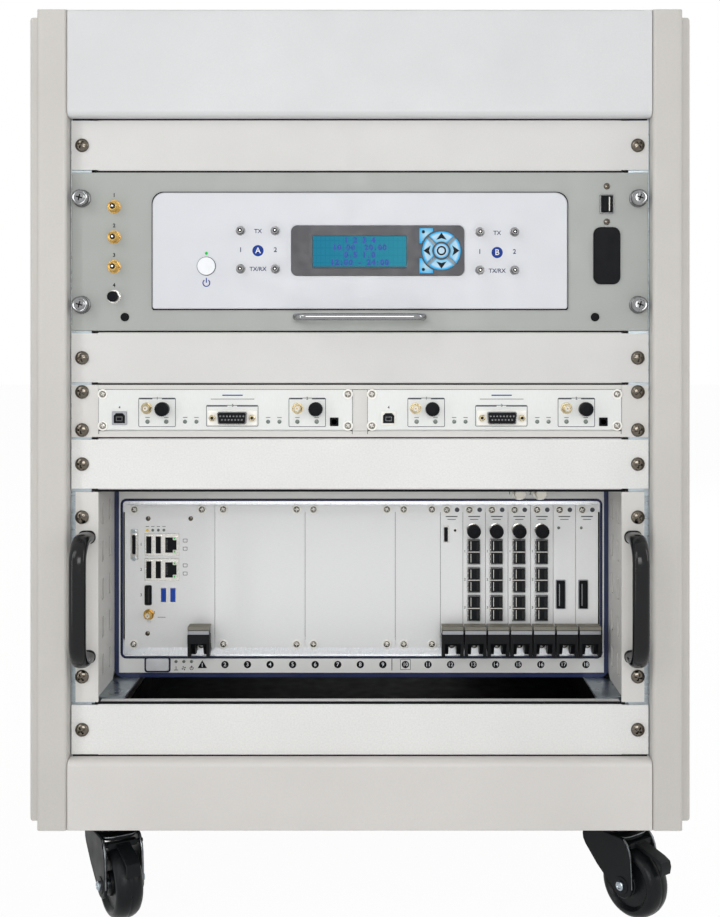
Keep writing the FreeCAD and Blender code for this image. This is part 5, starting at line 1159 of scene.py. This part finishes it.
def make_fork(corner, put):
    """Pressed fork: two cheeks with softened edges, rounded crown, neck, axle and its rivet heads."""
    piece = Piece(f"pressed_fork_{corner}", f"fork_{corner}", "caster_steel")
    count = len(FORK_SIDE)
    inset = []
    for i, point in enumerate(FORK_SIDE):
        along = (Vector(FORK_SIDE[(i + 1) % count]) - Vector(FORK_SIDE[i - 1])).normalized()
        inset.append((point[0] - along.y * 0.9, point[1] + along.x * 0.9))
    for side in (-1, 1):
        rings = [[put(side * a, t, z) for t, z in shape]
                 for a, shape in ((14.5, inset), (15.1, FORK_SIDE), (16.6, FORK_SIDE), (17.5, inset))]
        piece.loft(rings, CASTER_BLACK)
        for material, profile in ((CASTER_BLACK, ((7.4, 0), (7.2, 0.7), (5.2, 1.0))),
                                  (ZINC, ((3.9, 0.9), (3.9, 2.6), (3.2, 3.3), (2.4, 3.3), (1.9, 2.7), (TIP, 2.6)))):
            piece.loft([hoop(put, side * (17.4 + h), 0, AXLE_Z, r, 24) for r, h in profile], material)
    plan = rounded((-15.6, 15.6), (-45.2, 2.2), 11, 8)
    small = rounded((-14.8, 14.8), (-44.4, 1.4), 10.2, 8)
    for layers in (((66, small), (66.5, plan), (69.2, plan), (69.9, small)),
                   [(z, circle(r, 40, 0, -TRAIL)) for r, z in ((19.4, 69.8), (19.4, 70.2), (18.4, 70.6))]):
        piece.loft([[put(a, t, z) for a, t in shape] for z, shape in layers], CASTER_BLACK)
    piece.loft([hoop(put, a, 0, AXLE_Z, 4, 20) for a in (-17, 17)], ZINC)
    across = (put(1, 0, 0) - put(0, 0, 0)).normalized()
    # bright metal strips along the cheeks' and crown's front edges: worn bare edges and a painted highlight
    for side in (-1, 1):
        piece.bar([put(side * 16.2, t, z) for t, z in FORK_SIDE[9:16]], across, (0.9, 0.35), WORN_AND_LIT_EDGE, 12)
    front = ((-15.4, -4), (-13.6, 0.4), (-9.0, 2.1), (0, 2.3), (9.0, 2.1), (13.6, 0.4), (15.4, -4))
    piece.bar([put(a, t, 69.2) for a, t in front], (0, 0, 1), (0.6, 0.35), WORN_AND_LIT_EDGE, 12)
    piece.finish(f"caster_fork_{corner}")


def make_casters():
    """Crowned wheels, forks, swivel races with their balls, pedals, and bolts on the plates."""
    balls = []
    for corner, degrees in CASTER_YAW.items():
        yaw = math.radians(degrees)
        wheel = f"caster_wheel_{corner}"
        cx, cy, cz = (mid(wheel, axis) for axis in range(3))
        across = Vector((math.cos(yaw), math.sin(yaw), 0))
        trail = Vector((math.sin(yaw), -math.cos(yaw), 0))

        def put(a, t, z):
            """Place at a across the wheel, t from its axle along the trail and z from the floor."""
            return Vector((cx, cy, z)) + across * a + trail * t

        piece = Piece(wheel + "_smooth", f"wheel_{corner}", "wheel_rubber")
        profile = list(WHEEL_RIM) + [(r, -a) for r, a in WHEEL_RIM[-2:0:-1]]
        piece.loft([hoop(put, a, 0, cz, r, 60) for r, a in profile], TYRE, looped=True)
        piece.finish(wheel)

        make_fork(corner, put)
        swivel = put(0, -TRAIL, 0)
        piece = Piece(f"swivel_race_{corner}", slot="caster_steel")
        race = ((26, 81.9), (26, 79.6), (23.6, 76.2), (22.0, 74.2), (21.2, 72.6), (20.4, 71.6))
        piece.loft([[(u, v, z) for u, v in circle(r, 48, swivel.x, swivel.y)] for r, z in race], CASTER_BLACK)
        piece.finish()
        balls += [(u, v, 71.2) for u, v in circle(19.6, 22, swivel.x, swivel.y)]

        if corner in ("fl", "fr"):
            piece = Piece(f"brake_pedal_{corner}", f"brake_{corner}", "caster_steel")
            hub = ((6.6, 61.2), (5.6, 65.2), (1.2, 65.5), (-4, 64.2), (-4, 61.5))
            pad = ((27.5, 58.4), (33.2, 55.6), (34.4, 50.8), (33.2, 44.8), (31.4, 45.2), (32.2, 50.6), (31.4, 53.4),
                   (27.0, 55.6), (6.4, 61.4), (5.8, 64.6))
            for half, shape in ((12.6, hub), (5.8, pad)):
                piece.loft([[put(a, t, z) for t, z in shape] for a in (-half, 1 - half, half - 1, half)], CASTER_BLACK)
            piece.loft([hoop(put, a, 4, 63.4, 1.6, 16) for a in (-18.0, 18.0)], CASTER_BLACK)
            piece.finish(f"brake_lever_{corner}")
    ball = Piece("ball")
    ball.turned([(TIP, 1.3), (0.9, 0.95), (1.3, 0), (0.9, -0.95), (TIP, -1.3)], 0, 0, 0, ZINC, 8)
    repeat("race_balls", ball.loose(), balls, ZINC)
    piece = Piece("caster_bolts", slot="caster_steel")
    for sign in (-1, 1):
        for base in (low("caster_plates", 1) + 31, high("caster_plates", 1) - 31):
            for dx in (-12, 24):
                for dy in (-24, 24):
                    hexagons = [(circle(r, 6, sign * (218 - dx), base + dy), z)
                                for r, z in ((5.2, 81.9), (5.2, 78.4), (4.6, 77.9))]
                    piece.loft([[(u, v, z) for u, v in outline] for outline, z in hexagons], ZINC)
    piece.finish()


# ------------------------------------------------------------ light, floor and camera
WHITE_SHARE = 0.97      # of the floor's look that is plain white; the rest holds the shadow
WORLD_LIGHT = 0.36      # strength of the surroundings as light on the object
CAMERA_GAP, CAMERA_X, CAMERA_Z = 1.075, 0.018, 0.488    # metres: in front of the panels, sideways, above the floor


def seen_directly(tree):
    """One for camera, glossy and transmission rays, nought for the light that falls on the object."""
    path = tree.nodes.new("ShaderNodeLightPath")
    share = path.outputs["Is Camera Ray"]
    for ray in ("Is Glossy Ray", "Is Transmission Ray"):
        both = tree.nodes.new("ShaderNodeMath")
        both.operation = "MAXIMUM"
        tree.links.new(share, both.inputs[0])
        tree.links.new(path.outputs[ray], both.inputs[1])
        share = both.outputs[0]
    return share


def make_floor():
    """Pale seamless floor that shows white and keeps a soft shadow."""
    n = Nodes("stage")
    tree = n.tree
    glow = n.new("ShaderNodeEmission", {"Color": (1, 1, 1, 1), "Strength": 1.0})
    n.put("Base Color", n.blend(n.spread(n.noise(3, 3), 0, 1), (0.88, 0.88, 0.88, 1), (0.9, 0.9, 0.9, 1)))
    n.put("Roughness", 0.85)
    white = n.math("MULTIPLY", seen_directly(tree), WHITE_SHARE)
    mix = n.new("ShaderNodeMixShader", {0: white, 1: n.shader.outputs[0], 2: glow.outputs[0]})
    tree.links.new(mix.outputs[0], tree.nodes["Material Output"].inputs["Surface"])
    floor = bpy.data.meshes.new("floor")
    half, drop = 14, -0.0005
    floor.from_pydata([(x, y, drop) for x, y in ((-half, -half), (half, -half), (half, half), (-half, half))], [],
                      [(0, 1, 2, 3)])
    floor.materials.append(n.material)
    made = bpy.data.objects.new("floor", floor)
    bpy.context.scene.collection.objects.link(made)


def make_lights():
    """White surroundings and five soft lamps; places and sizes in metres, power in watts."""
    world = bpy.data.worlds.new("studio")
    bpy.context.scene.world = world
    world.use_nodes = True
    tree = world.node_tree
    background = tree.nodes["Background"]
    background.inputs["Color"].default_value = (1, 1, 1, 1)
    strength = tree.nodes.new("ShaderNodeMapRange")
    tree.links.new(seen_directly(tree), strength.inputs["Value"])
    strength.inputs["To Min"].default_value = WORLD_LIGHT
    strength.inputs["To Max"].default_value = 1.0
    tree.links.new(strength.outputs[0], background.inputs["Strength"])

    for name, place, size, power, aim in (
            ("front", (0.03, -1.9, 0.75), (0.8, 0.6), 8.6, (0, -0.33, 0.33)),
            ("key", (-1.3, -2.1, 1.9), (0.6, 1.2), 7, (0, -0.3, 0.4)),
            ("strip", (-1.0, -1.1, 0.72), (0.07, 1.4), 2.4, (0, -0.33, 0.72)),
            ("side", (2.3, -1.0, 1.3), (0.5, 1.6), 9, (0, 0, 0.4)),
            ("rear", (1.0, 2.5, 1.9), (1.4, 1.4), 44, (0, 0.2, 0.4))):
        lamp = bpy.data.lights.new(name, "AREA")
        lamp.shape = "RECTANGLE"
        lamp.size, lamp.size_y = size
        lamp.energy = power
        holder = bpy.data.objects.new(name, lamp)
        holder.location = place
        holder.rotation_euler = (Vector(aim) - Vector(place)).to_track_quat("-Z", "Y").to_euler()
        bpy.context.scene.collection.objects.link(holder)


def make_camera():
    """Level camera in front of the rack."""
    data = bpy.data.cameras.new("camera")
    data.sensor_fit = "VERTICAL"
    data.sensor_height = 36
    data.lens = 50.43
    data.shift_x = -0.0234
    data.shift_y = -0.1249
    data.clip_start = 0.05
    holder = bpy.data.objects.new("camera", data)
    holder.location = (CAMERA_X, PANEL_Y * MM - CAMERA_GAP, CAMERA_Z)
    holder.rotation_euler = (math.pi / 2, 0, 0)
    bpy.context.scene.collection.objects.link(holder)
    bpy.context.scene.camera = holder


for make in (make_screws, make_seams, make_thumbscrews, make_station_jacks, make_station_marks, make_key_marks,
             make_display_figures, make_pull_handle, make_radio_fronts, make_tray_front, make_number_strip,
             make_reference_jacks, make_card_ports, make_card_marks, make_ejector_trims, make_chassis_handles,
             make_casters, make_floor, make_lights, make_camera):
    make()
bpy.context.scene.view_settings.view_transform = "Standard"
